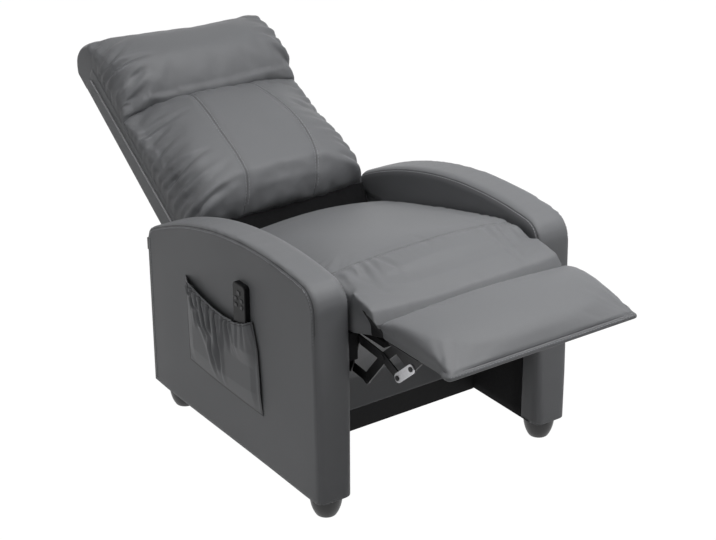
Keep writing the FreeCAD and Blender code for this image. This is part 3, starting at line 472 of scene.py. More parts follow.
def stitch_row(name, tree, starts, direction, body):
    """Short stitches on a cover, where rays from a line of starts meet it."""
    rays = [tree.ray_cast(Vector(start), Vector(direction)) for start in starts]
    met = [(place, normal) for place, normal, _, _ in rays if place is not None]
    mesh = bmesh.new()
    travelled = stitch_pitch
    for (start, normal), (end, _) in zip(met, met[1:]):
        step = end - start
        length = step.length
        if length < tiny or length > stitch_pitch * 3:
            continue
        travelled += length
        if travelled < stitch_pitch:
            continue
        travelled -= stitch_pitch
        ahead = step.normalized()
        side = normal.cross(ahead).normalized()
        up = ahead.cross(side)
        if up.dot(normal) < 0:
            up = -up
        ring = []
        for reach, half, rise in stitch_ends:
            middle = start + ahead * reach * stitch_length
            low = middle - up * stitch_height / 2
            high = middle + up * stitch_height * rise
            wide = side * stitch_width * half
            narrow = wide * stitch_crown_share
            corners = (low - wide, low + wide, high + narrow, high - narrow)
            ring.append([mesh.verts.new(corner) for corner in corners])
        mesh.faces.new(ring[0][::-1])
        mesh.faces.new(ring[-1])
        for before, after in zip(ring, ring[1:]):
            for index in range(4):
                other = (index + 1) % 4
                mesh.faces.new((before[index], before[other], after[other], after[index]))
    bmesh.ops.recalc_face_normals(mesh, faces=mesh.faces)
    data = bpy.data.meshes.new(name)
    mesh.to_mesh(data)
    mesh.free()
    piece = bpy.data.objects.new(name, data)
    bpy.context.scene.collection.objects.link(piece)
    data.materials.append(thread)
    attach(piece, body)


# Arms: boards padded with thin foam. A flat vinyl panel closes each outer side, and a strip runs
# up the front, over the top and down the rear, sewn to the panel just inside the edge.
half_width = 0.330
arm_inner = 0.245
arm_front = -0.428
arm_rear = 0.258
arm_bottom = 0.050
arm_seam_margin = 0.0055
arm_seam_depth = 0.0022
arm_seam_width = 0.0022
arm_edge_radius = 0.018
arm_inner_radius = 1.2 * arm_edge_radius
arm_rear_square = 0.012
shoulder_radius = 0.019
square_band = 0.030
bottom_snap = 0.007
side_snap = 0.006
panel_swell = 0.0015
strip_ripple = 0.0006
strip_ripple_pitch = 0.060
lining_front = -0.372
lining_rear = 0.227
lining_top = 0.392
lining_depth = 0.0035
frame_wood = Finish("frame_wood", roughness=0.65)
rings = frame_wood.waves("Z", {"Scale": 22.0, "Distortion": 5.0, "Detail": 3.0})
wood_low = (0.32, 0.21, 0.11)
wood_high = (0.52, 0.38, 0.22)
frame_wood.feed("Base Color", frame_wood.blended(rings, wood_low, wood_high))
frame_wood.bump(rings, 0.0003)


def hull_outline(places):
    """The 2-D outline round a set of places, in order."""
    ordered = sorted(set((round(a, 5), round(b, 5)) for a, b in places))
    chains = []
    for run in (ordered, ordered[::-1]):
        chain = []
        for place in run:
            while len(chain) > 1:
                (a, b), (c, d) = chain[-2], chain[-1]
                if (c - a) * (place[1] - b) - (d - b) * (place[0] - a) > 0:
                    break
                chain.pop()
            chain.append(place)
        chains.append(chain[:-1])
    return [np.array(place) for place in chains[0] + chains[1]]


def inset_line(outline, depth, spacing):
    """An even path inside a convex outline, without its bottom run."""
    closed = outline + outline[:1]
    dense = []
    for start, end in zip(closed, closed[1:]):
        count = max(int(np.linalg.norm(end - start) / spacing), 1)
        dense += [start + (end - start) * step / count for step in range(count)]
    dense = np.array(dense)
    ahead = np.roll(dense, -6, axis=0) - np.roll(dense, 6, axis=0)
    ahead /= np.linalg.norm(ahead, axis=1, keepdims=True)
    inward = np.c_[-ahead[:, 1], ahead[:, 0]]
    path = dense + inward * depth
    floor = dense[:, 1].min() + depth
    start = int(np.argmax(path[:, 1] <= floor))
    path = np.roll(path, -start, axis=0)
    return [place for place in path if place[1] > floor]


def round_edge(points, axes, corner, outward, radius):
    """Round a square edge of a mesh: the axes across it, its place, which way is out."""
    depths = [out * (place - points[:, axis]) for axis, place, out in zip(axes, corner, outward)]
    near = (depths[0] < radius) & (depths[1] < radius)
    spans = [radius - depth for depth in depths]
    length = np.hypot(spans[0], spans[1])
    pull = np.where(near & (length > radius), radius / np.maximum(length, tiny), 1.0)
    for axis, place, out, span in zip(axes, corner, outward, spans):
        moved = place - out * (radius - span * pull)
        points[:, axis] = np.where(near & (length > radius), moved, points[:, axis])
    return points


def sewn_run(outline):
    """An arm's outline from one foot to the other, over the top."""
    low = min(place[1] for place in outline) + 0.002
    raised = [index for index, place in enumerate(outline) if place[1] > low]
    before = [index for index in raised if (index - 1) % len(outline) not in raised][0]
    return [outline[(before - 1 + step) % len(outline)] for step in range(len(raised) + 2)]


def hidden_boards(name, node, middle, share, body):
    """A frame's boards, kept a few millimetres inside the cover that rounds over them."""
    piece = node_copy(name, [node])
    middle = np.array(middle)
    move_to(piece, middle + (points_of(piece) - middle) * np.array(share))
    piece.data.materials.clear()
    piece.data.materials.append(frame_wood.material)
    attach(piece, body)
    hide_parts(node)


def make_arm(side, sign):
    node = side + "_arm_cover"
    piece = node_copy(side + "_arm_pad", [node])
    edit_all(piece, (bpy.ops.mesh.convex_hull, {}))
    outline = hull_outline(points_of(piece)[:, 1:])
    even_mesh(piece, coarse_voxel, 2)
    points, normals = cover_of(piece)
    low = points[:, 2] < arm_bottom + square_band
    points[:, 2] = np.where(points[:, 2] < arm_bottom + bottom_snap, arm_bottom, points[:, 2])
    for axis, limit in ((0, sign * half_width), (0, sign * arm_inner), (1, arm_front), (1, arm_rear)):
        close = low & (np.abs(points[:, axis] - limit) < side_snap)
        points[:, axis] = np.where(close, limit, points[:, axis])
    gap, along = along_line(points[:, 1:], sewn_run(outline))
    front_low = ramp(0.435 - points[:, 2], 0.05) * (points[:, 1] < -0.25)
    outer = ramp(sign * points[:, 0] - (half_width - 0.012), 0.010)
    inner = ramp((arm_inner + 0.010) - sign * points[:, 0], 0.008)
    above = ramp(points[:, 2] - 0.056, 0.01) * (1 - 0.8 * front_low)
    sewn = groove(gap - arm_seam_margin, arm_seam_depth, arm_seam_width)
    move = -(outer + 0.6 * inner) * above * sewn
    inside = ramp(gap - arm_seam_margin, 0.05)
    move += outer * inside * panel_swell * (0.6 + 0.4 * np.sin(points[:, 1] * 9.0 + points[:, 2] * 6.0))
    strip = (1 - outer) * (1 - inner)
    seed = 11 if sign > 0 else 12
    move += strip_ripple * strip * gathers(along, strip_ripple_pitch, seed)
    points = points + normals * move[:, None]
    edges = ((sign * half_width, sign, arm_edge_radius), (sign * arm_inner, -sign, arm_inner_radius))
    for place, out, radius in edges:
        points = round_edge(points, (0, 1), (place, arm_front), (out, -1), radius)
        near_rear = points[:, 1] > arm_rear - arm_rear_square
        near_side = np.abs(points[:, 0] - place) < arm_rear_square
        upright = ramp(0.440 - points[:, 2], 0.040) * near_rear * near_side
        across = upright * (np.abs(normals[:, 0]) > 0.38)
        behind = upright * (normals[:, 1] > 0.38)
        points[:, 1] += (arm_rear - points[:, 1]) * behind
        points[:, 0] += (place - points[:, 0]) * across
    rim = np.array(sorted((place[0], place[1]) for place in outline if place[1] > 0.40))
    over = np.interp(points[:, 1], rim[:, 0], rim[:, 1])
    points = round_edge(points, (0, 2), (sign * arm_inner, over), (-sign, 1), shoulder_radius)
    lined = (sign * points[:, 0] < arm_inner + 0.003) & (points[:, 2] < lining_top)
    lined &= (points[:, 1] > lining_front) & (points[:, 1] < lining_rear)
    points[:, 0] = np.where(lined, sign * (arm_inner + lining_depth), points[:, 0])
    move_to(piece, points)
    mark_seams(piece, [(gap - arm_seam_margin) * (1 + 12 * front_low)])
    shade_soft(piece, panel_vinyl)
    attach(piece, "base")
    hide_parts(node)
    middle = (sign * (arm_inner + half_width) / 2, (arm_front + arm_rear) / 2, arm_bottom)
    hidden_boards(side + "_arm_boards", side + "_arm_frame", middle, (0.86, 0.955, 0.970), "base")
    tree = surface_of(piece)
    path = inset_line(outline, arm_seam_margin + stitch_margin, stitch_step)
    path = [place for place in path if place[0] > -0.36 or place[1] > 0.41]
    for row, start_x, across in (("outer", 0.36, -sign), ("inner", 0.20, sign)):
        starts = [(sign * start_x, y, z) for y, z in path]
        stitch_row(f"{side}_arm_{row}_stitches", tree, starts, (across, 0, 0), "base")


make_arm("right", -1)
make_arm("left", 1)

# Seat: a foam block under one long cover that runs forward over the fold to the footrest. It is
# drawn in by a seam across the front and is sewn tight along both sides, where it puckers.
dull_specular = 0.2
black_low = (0.004, 0.004, 0.0045)
black_high = (0.010, 0.010, 0.011)
black_cloth = Finish("black_cloth", roughness=0.9, specular=dull_specular)
weave = black_cloth.waves("X", {"Scale": 260.0}) * black_cloth.waves("Z", {"Scale": 260.0})
lint = black_cloth.noise(120.0, 3.0)
black_cloth.feed("Base Color", black_cloth.blended(lint, black_low, black_high))
black_cloth.bump(weave, 0.0003)

seat_half = 0.2445
seat_edge = 0.243
seat_seam_y = -0.330
seam_sag = 0.004
crease_y = -0.504
seat_profile = np.array((
    (-0.504, 0.4700), (-0.495, 0.478), (-0.480, 0.486), (-0.460, 0.491), (-0.440, 0.496),
    (-0.420, 0.503), (-0.390, 0.514), (-0.360, 0.5235), (-0.330, 0.530), (-0.300, 0.531),
))
seat_draw_in = 0.003
seat_puff = 0.007
seat_hollow = 0.0110
seat_piece = node_copy("chaise_cover", ["seat_cushion", "chaise_flap"])
even_mesh(seat_piece, coarse_voxel, 4)
points = points_of(seat_piece)
local_top = np.interp(points[:, 1], seat_profile[:, 0], seat_profile[:, 1])
nose = ramp(-0.345 - points[:, 1], 0.05)
fullness = 0.007 * (np.abs(points[:, 0]) / seat_edge) ** 3 * nose
dive = ramp(-0.470 - points[:, 1], 0.034) ** 1.6
lift = fullness * (1 - dive) + 0.0025 * nose - 0.0150 * dive
points[:, 2] += lift * ramp(points[:, 2] - 0.452, 0.012)
thin = ramp(-0.455 - points[:, 1], 0.05) * ramp(0.472 - points[:, 2], 0.02)
points[:, 2] += 0.016 * thin
below = local_top - points[:, 2]
under = ramp(below - 0.012, 0.040) * ramp(-0.415 - points[:, 1], 0.03)
points[:, 0] *= 1 - 0.11 * under
move_to(seat_piece, points)
relax(seat_piece, 8)
draw_in(seat_piece, seat_draw_in)
points = points_of(seat_piece)
held = (points[:, 2] < 0.44) | (np.abs(points[:, 0]) > 0.232) | (points[:, 1] < -0.480)
puff(seat_piece, seat_puff, held)
points, normals = cover_of(seat_piece)
on_top = np.clip(normals[:, 2] * 2.0 - 0.2, 0, 1)
points[:, 2] -= seat_hollow * on_top * ramp(-0.480 - points[:, 1], 0.022)
seam_bow = seat_seam_y + seam_sag * (points[:, 0] / seat_edge) ** 2
seam_gap = points[:, 1] - seam_bow
side_gap = np.maximum(seat_edge - np.abs(points[:, 0]), 0)
move = -on_top * groove(seam_gap, depth=0.0016, width=0.007)
places = points[:, :2]
forward = -math.pi / 2
nose_starts = [(x, -0.352) for x in (-0.226, -0.200, -0.172, -0.146, -0.118, 0.150, 0.186, 0.214)]
move += on_top * pleats(places, nose_starts, forward + 0.10, 0.120, 0.0034, 0.0075, seed=21)
crease_starts = [(x, crease_y) for x in spaced(-0.235, 0.235, 13, 22)]
move += on_top * pleats(places, crease_starts, -forward, 0.060, 0.0009, 0.0100, seed=23)
left_places = np.c_[seat_edge - np.abs(points[:, 0]), points[:, 1]]
pinches = [(0, y) for y in (-0.322, -0.300, -0.272, -0.236)]
move += on_top * pleats(left_places, pinches, 0.25, 0.040, 0.0042, 0.0058, seed=24)
rear_pinches = [(0, y) for y in spaced(-0.20, 0.14, 7, 25)]
move += on_top * pleats(left_places, rear_pinches, 0.1, 0.045, 0.0016, 0.010, seed=26)
move += on_top * 0.0012 * np.sin(points[:, 0] * 17 + 0.6) * np.sin(points[:, 1] * 13 + 0.3)
points = points + normals * move[:, None]
beside = points[:, 1] > -0.43
points[:, 0] = np.where(beside, np.clip(points[:, 0], -seat_half, seat_half), points[:, 0])
at_crease = points[:, 1] < crease_y
points[:, 1] = np.where(at_crease, crease_y, points[:, 1])
dressed(seat_piece, points, [np.where(points[:, 2] > 0.47, seam_gap, far_off)])
seat_piece.data.materials.append(black_cloth.material)
roof = np.interp(points[:, 1], seat_profile[:, 0], seat_profile[:, 1])
for face in seat_piece.data.polygons:
    corners = list(face.vertices)
    ahead = points[corners, 1].mean() < -0.446
    if ahead and (roof[corners] - points[corners, 2]).mean() > 0.014:
        face.material_index = 1
seat_tree = finer(seat_piece)
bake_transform(seat_piece)
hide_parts("seat_cushion", "chaise_flap")
run = np.arange(-0.236, 0.236, stitch_step)
starts = [(x, seat_seam_y + seam_sag * (x / seat_edge) ** 2 - 0.0045, 0.62) for x in run]
stitch_row("seat_front_stitches", seat_tree, starts, (0, 0, -1), "base")

# Footrest: a padded board. The cover is rounded over the padding, is pulled down over the
# board's square front edge and is sewn along a lip there, which bunches it at the corners.
rest_front = -0.729
rest_edge = 0.243
lip_z = 0.454
board_edge = 0.2292
rest_top = 0.482
rest_draw_in = 0.002
rest_puff = 0.006
fold_depth = 0.0060
fold_width = 0.005
rest_profile = np.array(curved([
    (-0.504, 0.4820), (-0.512, 0.4885), (-0.535, 0.4970), (-0.565, 0.5025), (-0.600, 0.5040),
    (-0.640, 0.5020), (-0.680, 0.4955), (-0.705, 0.4885), (-0.729, 0.4800),
]))[::-1]
rest_piece = node_copy("footrest_cover", ["footrest_pad", "footrest_board"])
even_mesh(rest_piece, fine_voxel, 3)
draw_in(rest_piece, rest_draw_in)
points = points_of(rest_piece)
held = (points[:, 2] < 0.458) | (points[:, 1] > -0.515)
puff(rest_piece, rest_puff, held)
points = points_of(rest_piece)
roof = np.interp(points[:, 1], rest_profile[:, 0], rest_profile[:, 1])
points[:, 2] += (roof - rest_top) * ramp(points[:, 2] - lip_z, 0.016)
rise = ramp(points[:, 2] - lip_z, 0.020)
for sign in (-1, 1):
    for reach in (0.016, 0.030, 0.040):
        rounded = round_edge(points.copy(), (0, 1), (sign * rest_edge, rest_front), (sign, -1), reach)
        share = np.clip(rise * 3 + 1.0 - (reach - 0.002) / 0.014, 0, 1)[:, None] * (rise > 0)[:, None]
        points = points + (rounded - points) * share
    points = round_edge(points, (0, 2), (sign * rest_edge, roof - 0.003), (sign, 1), 0.024)
points = round_edge(points, (1, 2), (-0.728, 0.483), (-1, 1), 0.028)
tucked = ramp(0.466 - points[:, 2], 0.012) * ramp(points[:, 1] + 0.712, 0.030)
inwards = np.minimum(np.abs(points[:, 0]), board_edge)
wide = np.abs(points[:, 0]) > board_edge
points[:, 0] += np.where(wide, np.sign(points[:, 0]) * (inwards - np.abs(points[:, 0])) * tucked, 0)
move_to(rest_piece, points)
relax(rest_piece, 3)
points, normals = cover_of(rest_piece)
upright = np.clip(1.2 - np.abs(normals[:, 2]) * 1.4, 0, 1) * ramp(-0.694 - points[:, 1], 0.014)
on_top = np.clip(normals[:, 2] * 2.0 - 0.4, 0, 1)
move = -upright * groove(points[:, 2] - lip_z, depth=0.0026, width=0.0034)
move += 0.0042 * upright * ramp(lip_z - 0.001 - points[:, 2], 0.003)
places = points[:, :2]
crease_starts = [(x, crease_y) for x in spaced(-0.235, 0.235, 12, 31)]
move += on_top * pleats(places, crease_starts, forward, 0.050, 0.0008, 0.0090, seed=32)
move -= on_top * fold_depth * np.exp(-(((points[:, 1] - crease_y) / fold_width) ** 2))
corner_places = np.c_[rest_edge - np.abs(points[:, 0]), points[:, 1] - rest_front]
corner_starts = [(0.004, 0.006), (0.016, 0.001), (0.001, 0.022), (0.030, 0.0)]
move += rise ** 0.5 * pleats(corner_places, corner_starts, math.pi / 4, 0.032, 0.0032, 0.0046, seed=33)
side_starts = [(0.0, y - rest_front) for y in spaced(-0.68, -0.52, 5, 34)]
move += on_top * pleats(corner_places, side_starts, 0.1, 0.036, 0.0006, 0.012, seed=35)
move += on_top * 0.0012 * np.sin(points[:, 0] * 15 + 1.6) * np.sin(points[:, 1] * 21 + 0.3)
lip_gap = np.where(upright > 0.3, points[:, 2] - lip_z, far_off)
dressed(rest_piece, points + normals * move[:, None], [lip_gap])
rest_tree = finer(rest_piece)
hidden_boards("footrest_boards", "footrest_board", (0.0, -0.612, 0.447), (0.975, 0.97, 0.80), "footrest")
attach(rest_piece, "footrest")
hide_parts("footrest_pad")
starts = [(x, -0.80, lip_z - 0.0045) for x in np.arange(-0.232, 0.232, stitch_step)]
stitch_row("footrest_stitches", rest_tree, starts, (0, 1, 0), "footrest")

# Backrest: a board frame in a vinyl shell, with two stuffed cushions sewn to its front edge.
# Their sides are gathered into soft folds, and the lower one has two curved seams down its face.
back_corner = np.array([0.172, 0.350])
back_slope = math.radians(35)
back_up = np.array([math.cos(back_slope), math.sin(back_slope)])
back_out = np.array([-math.sin(back_slope), math.cos(back_slope)])
shell_half = 0.241
shell_low = 0.022
shell_high = 0.592
shell_border = 0.034
shell_face = -0.010
shell_depth = 0.079
shell_seam = 0.014
shell_thickness = 0.0016


def on_back(points):
    """How far up the back and out of its face each place lies."""
    reach = points[:, 1:] - back_corner
    return reach @ back_up, reach @ back_out


def from_back(x, s, t):
    place = back_corner + back_up * s + back_out * t
    return (x, place[0], place[1])


def at_back(x, s, t):
    """Many places at once, from their measures on the back."""
    reach = np.outer(s, back_up) + np.outer(t, back_out) + back_corner
    return np.c_[x, reach]


def wrapped(s):
    """How far back the cushions' sewn edges lie on the shell's sides."""
    return -0.029 - 0.030 * np.clip(s - 0.12, 0, 1)


shell = node_copy("back_shell", ["back_cover"])
edit_all(shell, (bpy.ops.mesh.convex_hull, {}))
even_mesh(shell, coarse_voxel, 3)
points, normals = cover_of(shell)
s, t = on_back(points)
depth = 0.0810 - 0.035 * s
t = np.where(t < -0.030, -0.030 + (t + 0.030) * (shell_depth - 0.030) / (depth - 0.030), t)
t = np.where((normals[:, 1:] @ back_out < -0.4) & (t < 0.012 - shell_depth), -shell_depth, t)
beside = (np.abs(normals[:, 0]) > 0.4) & (np.abs(points[:, 0]) > 0.225)
across = np.where(beside, shell_half * np.sign(points[:, 0]), points[:, 0])
points = at_back(across, s, t)
edge_gap = np.minimum(shell_half - np.abs(points[:, 0]), np.minimum(s - shell_low, shell_high - s))
rear_face = np.clip(-(normals[:, 1:] @ back_out) * 2 - 0.5, 0, 1)
move = -rear_face * groove(edge_gap - shell_seam, depth=0.002, width=0.004)
move += rear_face * 0.0016 * gathers(points[:, 0] + s, 0.09, 41) * ramp(edge_gap, 0.05)
sides = np.clip(np.abs(normals[:, 0]) * 2 - 1, 0, 1)
move += sides * 0.0005 * gathers(s, 0.070, 42)
move_to(shell, points + normals * move[:, None])
mark_seams(shell, [np.where(rear_face > 0.3, edge_gap - shell_seam, far_off)])
mesh = bmesh.new()
mesh.from_mesh(shell.data)
centres = np.array([face.calc_center_median() for face in mesh.faces])
up, out = on_back(centres)
within = np.abs(centres[:, 0]) < shell_half - shell_border
within &= (up > shell_low + 0.005) & (up < shell_high - shell_border) & (out > shell_face - 0.0035)
open_face = [face for face, inner in zip(mesh.faces, within) if inner]
bmesh.ops.delete(mesh, geom=open_face, context="FACES")
mesh.to_mesh(shell.data)
mesh.free()
apply_modifier(shell, "SOLIDIFY", thickness=shell_thickness, offset=-1.0)
shade_soft(shell, sewn_vinyl)
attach(shell, "backrest")
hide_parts("back_cover")
piping_x = 0.2440
piping_radius = 0.0018
piping_stand = 0.0022
# The piping is tinted far lighter than the grey vinyl it is made of: painted highlight along the welt.
piping_highlight_low = (0.38, 0.385, 0.395)
piping_highlight_high = (0.48, 0.485, 0.50)
highlit_piping_vinyl = clouded(
    "highlit_piping_vinyl", 200.0, 2.0, piping_highlight_low, piping_highlight_high, relief=0.0002, rough=(0.42, 0.0)
)
piping_data = bpy.data.curves.new("shell_piping", "CURVE")
piping_data.dimensions = "3D"
piping_data.bevel_depth = piping_radius
piping_data.bevel_resolution = 2
piping_data.use_fill_caps = True
for sign in (-1, 1):
    run = piping_data.splines.new("POLY")
    run_up = np.linspace(0.034, 0.575, 90)
    places = [from_back(sign * piping_x, s, wrapped(s) + piping_stand) for s in run_up]
    run.points.add(len(places) - 1)
    for point, place in zip(run.points, places):
        point.co = (*place, 1.0)
piping = bpy.data.objects.new("shell_piping", piping_data)
bpy.context.scene.collection.objects.link(piping)
select_only(piping)
bpy.ops.object.convert(target="MESH")
piping = bpy.context.view_layer.objects.active
shade_soft(piping, highlit_piping_vinyl)
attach(piping, "backrest")


def seated(points, s, t, base, half):
    """Let a cushion's sewn edge meet the shell's, and keep it between the arms."""
    low = ramp(base + 0.052 - t, 0.048) * ramp(np.abs(points[:, 0]) - half + 0.024, 0.006)
    out = np.sign(points[:, 0]) * (half + 0.0022)
    x = points[:, 0] + (out - points[:, 0]) * low
    t = t + (wrapped(s) - base) * ramp(base + 0.012 - t, 0.012) * low
    wall = ramp(t - wrapped(s) - 0.004, 0.020) * ramp(np.abs(x) - half + 0.016, 0.008)
    x = np.clip(x, -half - 0.0025, half + 0.0025)
    x = x - np.sign(x) * wall * 0.0030 * (1 + gathers(s - 0.5 * t, 0.026, 58))
    return at_back(x, s, t)


def side_roll(gap, t, reach, drop):
    """How far a stuffed cushion's face falls away towards its ends."""
    share = np.clip(1 - gap / reach, 0, 1)
    return drop * (1 - np.sqrt(1 - share ** 2)) * ramp(t - 0.004, 0.040)


cushion_draw_in = 0.003
cushion_puff = 0.012
cushion_slack = 0.02
gather_width = 0.0078
gather_heading = 0.35
row_offset = 0.0042


def stuffed(name, node, held, rounds):
    """A back cushion, blown up from its solid except where it is sewn down."""
    piece = node_copy(name, [node])
    even_mesh(piece, fine_voxel, 4)
    draw_in(piece, cushion_draw_in)
    puff(piece, cushion_puff, held(*on_back(points_of(piece))), cushion_slack)
    relax(piece, rounds)
    return piece


def side_folds(x, places, run, reach, depths, seeds):
    """Folds that run in from a cushion's two gathered sides."""
    total = np.zeros(len(x))
    for sign, depth, seed in zip((-1, 1), depths, seeds):
        starts = [(0.004, place) for place in spaced(*run, seed)]
        folds = pleats(places, starts, gather_heading, reach, depth, gather_width, seed)
        total += (x * sign > 0) * folds
    return total


def end_folds(x, gap, count, reach, depth, width, seed):
    """Folds that run in from a cushion's top or bottom edge."""
    starts = [(0.0, place) for place in spaced(-0.230, 0.230, count, seed)]
    return pleats(np.c_[gap, x], starts, 0.0, reach, depth, width, seed + 1)


back_piece = stuffed("back_pad", "back_cushion", lambda s, t: t < 0.010, rounds=30)
left_seam = curved([
    (-0.070, 0.44), (-0.078, 0.37), (-0.084, 0.28), (-0.085, 0.19), (-0.090, 0.12), (-0.104, 0.070)
])
right_seam = curved([
    (0.092, 0.44), (0.107, 0.36), (0.119, 0.27), (0.116, 0.19), (0.100, 0.12), (0.088, 0.070)
])
points, normals = cover_of(back_piece)
s, t = on_back(points)
face_out = np.clip((normals[:, 1:] @ back_out) * 2 - 0.1, 0, 1)
places = np.c_[points[:, 0], s]
move = np.zeros(len(points))
seam_gaps = []
for seed, seam in ((51, left_seam), (52, right_seam)):
    line = np.array(seam)
    gap, along = along_line(places, seam)
    aside = np.sign(points[:, 0] - np.interp(s, line[::-1, 1], line[::-1, 0]))
    seam_gaps.append(np.where(face_out > 0.1, gap * aside, far_off))
    move -= face_out * groove(gap, depth=0.0016, width=0.007)
    move += face_out * 0.0010 * gathers(along, 0.030, seed) * np.exp(-gap / 0.016)
side_gap = np.maximum(shell_half - np.abs(points[:, 0]), 0)
free = ramp(t + 0.024, 0.036)
round_gap = np.hypot(side_gap, np.clip(0.03 - t, 0, 1)) - 0.015
run = (0.080, 0.425, 13)
depths = (0.0074, 0.0046)
move += free * side_folds(points[:, 0], np.c_[round_gap, s], run, 0.100, depths, (53, 54))
move += free * end_folds(points[:, 0], s - 0.074, 8, 0.050, 0.0016, 0.0110, seed=55)
move += free * end_folds(points[:, 0], 0.430 - s, 11, 0.045, 0.0022, 0.0085, seed=57)
move += face_out * 0.0022 * np.sin(points[:, 0] * 21 + s * 9) * np.sin(s * 17 + 0.8)
points = points + normals * move[:, None]
s, t = on_back(points)
tucked = ramp(s - 0.385, 0.045)
left_side = np.clip(-points[:, 0] / 0.05, 0, 1)
t = t - side_roll(side_gap, t, 0.090, 0.018) * left_side
low_right = ramp(points[:, 0] - 0.10, 0.12) * ramp(0.30 - s, 0.10)
t = t + 0.012 * low_right * ramp(t, 0.03)
s = s + 0.008 * ramp(0.150 - s, 0.070) * ramp(t + 0.005, 0.03)
points = seated(points, s + 0.022 * tucked, t - 0.006 * tucked * ramp(t, 0.03), shell_face, shell_half)
dressed(back_piece, points, seam_gaps)
back_tree = finer(back_piece)
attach(back_piece, "backrest")
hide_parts("back_cushion")
inwards = (0, -back_out[0], -back_out[1])
for name, seam in (("left", left_seam), ("right", right_seam)):
    for row, offset in (("near", -row_offset), ("far", row_offset)):
        dense = np.array(curved(seam, 4))
        dense = dense[(dense[:, 1] > 0.085) & (dense[:, 1] < 0.415)]
        starts = [from_back(place[0] + offset, place[1], 0.2) for place in dense]
        stitch_row(f"back_{name}_{row}_stitches", back_tree, starts, inwards, "backrest")


def sewn_down(s, t):
    return (t < -0.025) | ((s < 0.445) & (t < 0.004))


head_piece = stuffed("head_pad", "head_cushion", sewn_down, rounds=24)
points, normals = cover_of(head_piece)
s, t = on_back(points)
side_gap = np.maximum(shell_half - np.abs(points[:, 0]), 0)
face_out = np.clip((normals[:, 1:] @ back_out) * 2 - 0.1, 0, 1)
free = ramp(t + 0.050, 0.040)
round_gap = np.hypot(side_gap, np.clip(0.02 - t, 0, 1)) - 0.010
run = (0.442, 0.640, 10)
depths = (0.0125, 0.0070)
move = free * side_folds(points[:, 0], np.c_[round_gap, s], run, 0.085, depths, (61, 62))
move += free * end_folds(points[:, 0], s - 0.436, 10, 0.032, 0.0012, 0.0085, seed=63)
move += face_out * 0.0018 * np.sin(points[:, 0] * 16 + 1.1) * np.sin(s * 19 + 0.4)
points = points + normals * move[:, None]
s, t = on_back(points)
overhang = 0.030 - 0.022 * (np.abs(points[:, 0]) / shell_half) ** 2
hung = ramp(0.545 - s, 0.110) ** 1.5 * ramp(t - 0.004, 0.040)
high = ramp(s - 0.56, 0.06)
t = t - side_roll(side_gap, t, 0.060, 0.030) - side_roll(s - 0.430, t, 0.085, 0.022)
fuller = high * ramp(0.06 - points[:, 0], 0.30) * ramp(t + 0.050, 0.050)
s = s + 0.018 * fuller - 0.012 * high * np.clip(1 - side_gap / 0.022, 0, 1) ** 2
points = seated(points, s - overhang * hung - 0.006 * (s < 0.46), t, shell_face, shell_half)
s, t = on_back(points)
behind = ramp(-0.002 - t, 0.01)
ends = behind * (np.abs(points[:, 0]) > 0.215)
x = points[:, 0] + (np.sign(points[:, 0]) * 0.2405 - points[:, 0]) * ends * 0.8
points = at_back(x, s - 0.010 * behind * (s < 0.61), np.maximum(t, -0.0815))
dressed(head_piece, points, [np.full(len(points), far_off)])
finer(head_piece)
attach(head_piece, "backrest")
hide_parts("head_cushion")

# Side pocket: a loose vinyl pouch sewn to the arm's panel on three sides. Its rim is turned
# over an elastic, which gathers it into folds that fan down from the rim.
panel_x = -0.3306
pouch_width = 0.29
pouch_thickness = 0.0013
pouch_least = 0.0019
pouch_most = 0.0186
hem_depth = 0.0048
pouch_front = ((0.377, -0.190), (0.319, -0.207), (0.252, -0.213), (0.166, -0.217))
pouch_rear = ((0.380, 0.089), (0.270, 0.088), (0.172, 0.085))
rim_line = np.array((
    (-0.197, 0.383), (-0.173, 0.371), (-0.150, 0.363), (-0.116, 0.357), (-0.092, 0.354), (-0.045, 0.356),
    (0.002, 0.363), (0.031, 0.369), (0.056, 0.375), (0.078, 0.379), (0.089, 0.380),
))
pouch_folds = (
    (0.070, 0.371, -0.031, 0.237, 0.9), (0.043, 0.354, 0.034, 0.284, 0.8),
    (0.007, 0.347, -0.042, 0.200, 1.2), (-0.027, 0.341, -0.028, 0.252, 1.0),
    (-0.052, 0.339, -0.058, 0.196, 1.1), (-0.087, 0.340, -0.075, 0.272, 0.8),
    (-0.118, 0.345, -0.132, 0.285, 0.8), (-0.145, 0.356, -0.147, 0.310, 0.7),
    (0.058, 0.360, 0.050, 0.315, 0.6), (0.024, 0.350, 0.010, 0.290, 0.6),
    (-0.102, 0.342, -0.104, 0.280, 0.7), (-0.165, 0.360, -0.172, 0.310, 0.6),
)


def new_grid(name, x_cuts, y_cuts):
    """A flat grid a metre wide, to be laid where a cloth goes."""
    bpy.ops.object.select_all(action="DESELECT")
    bpy.ops.mesh.primitive_grid_add(x_subdivisions=x_cuts, y_subdivisions=y_cuts, size=1.0)
    made = bpy.context.view_layer.objects.active
    made.name = name
    return made


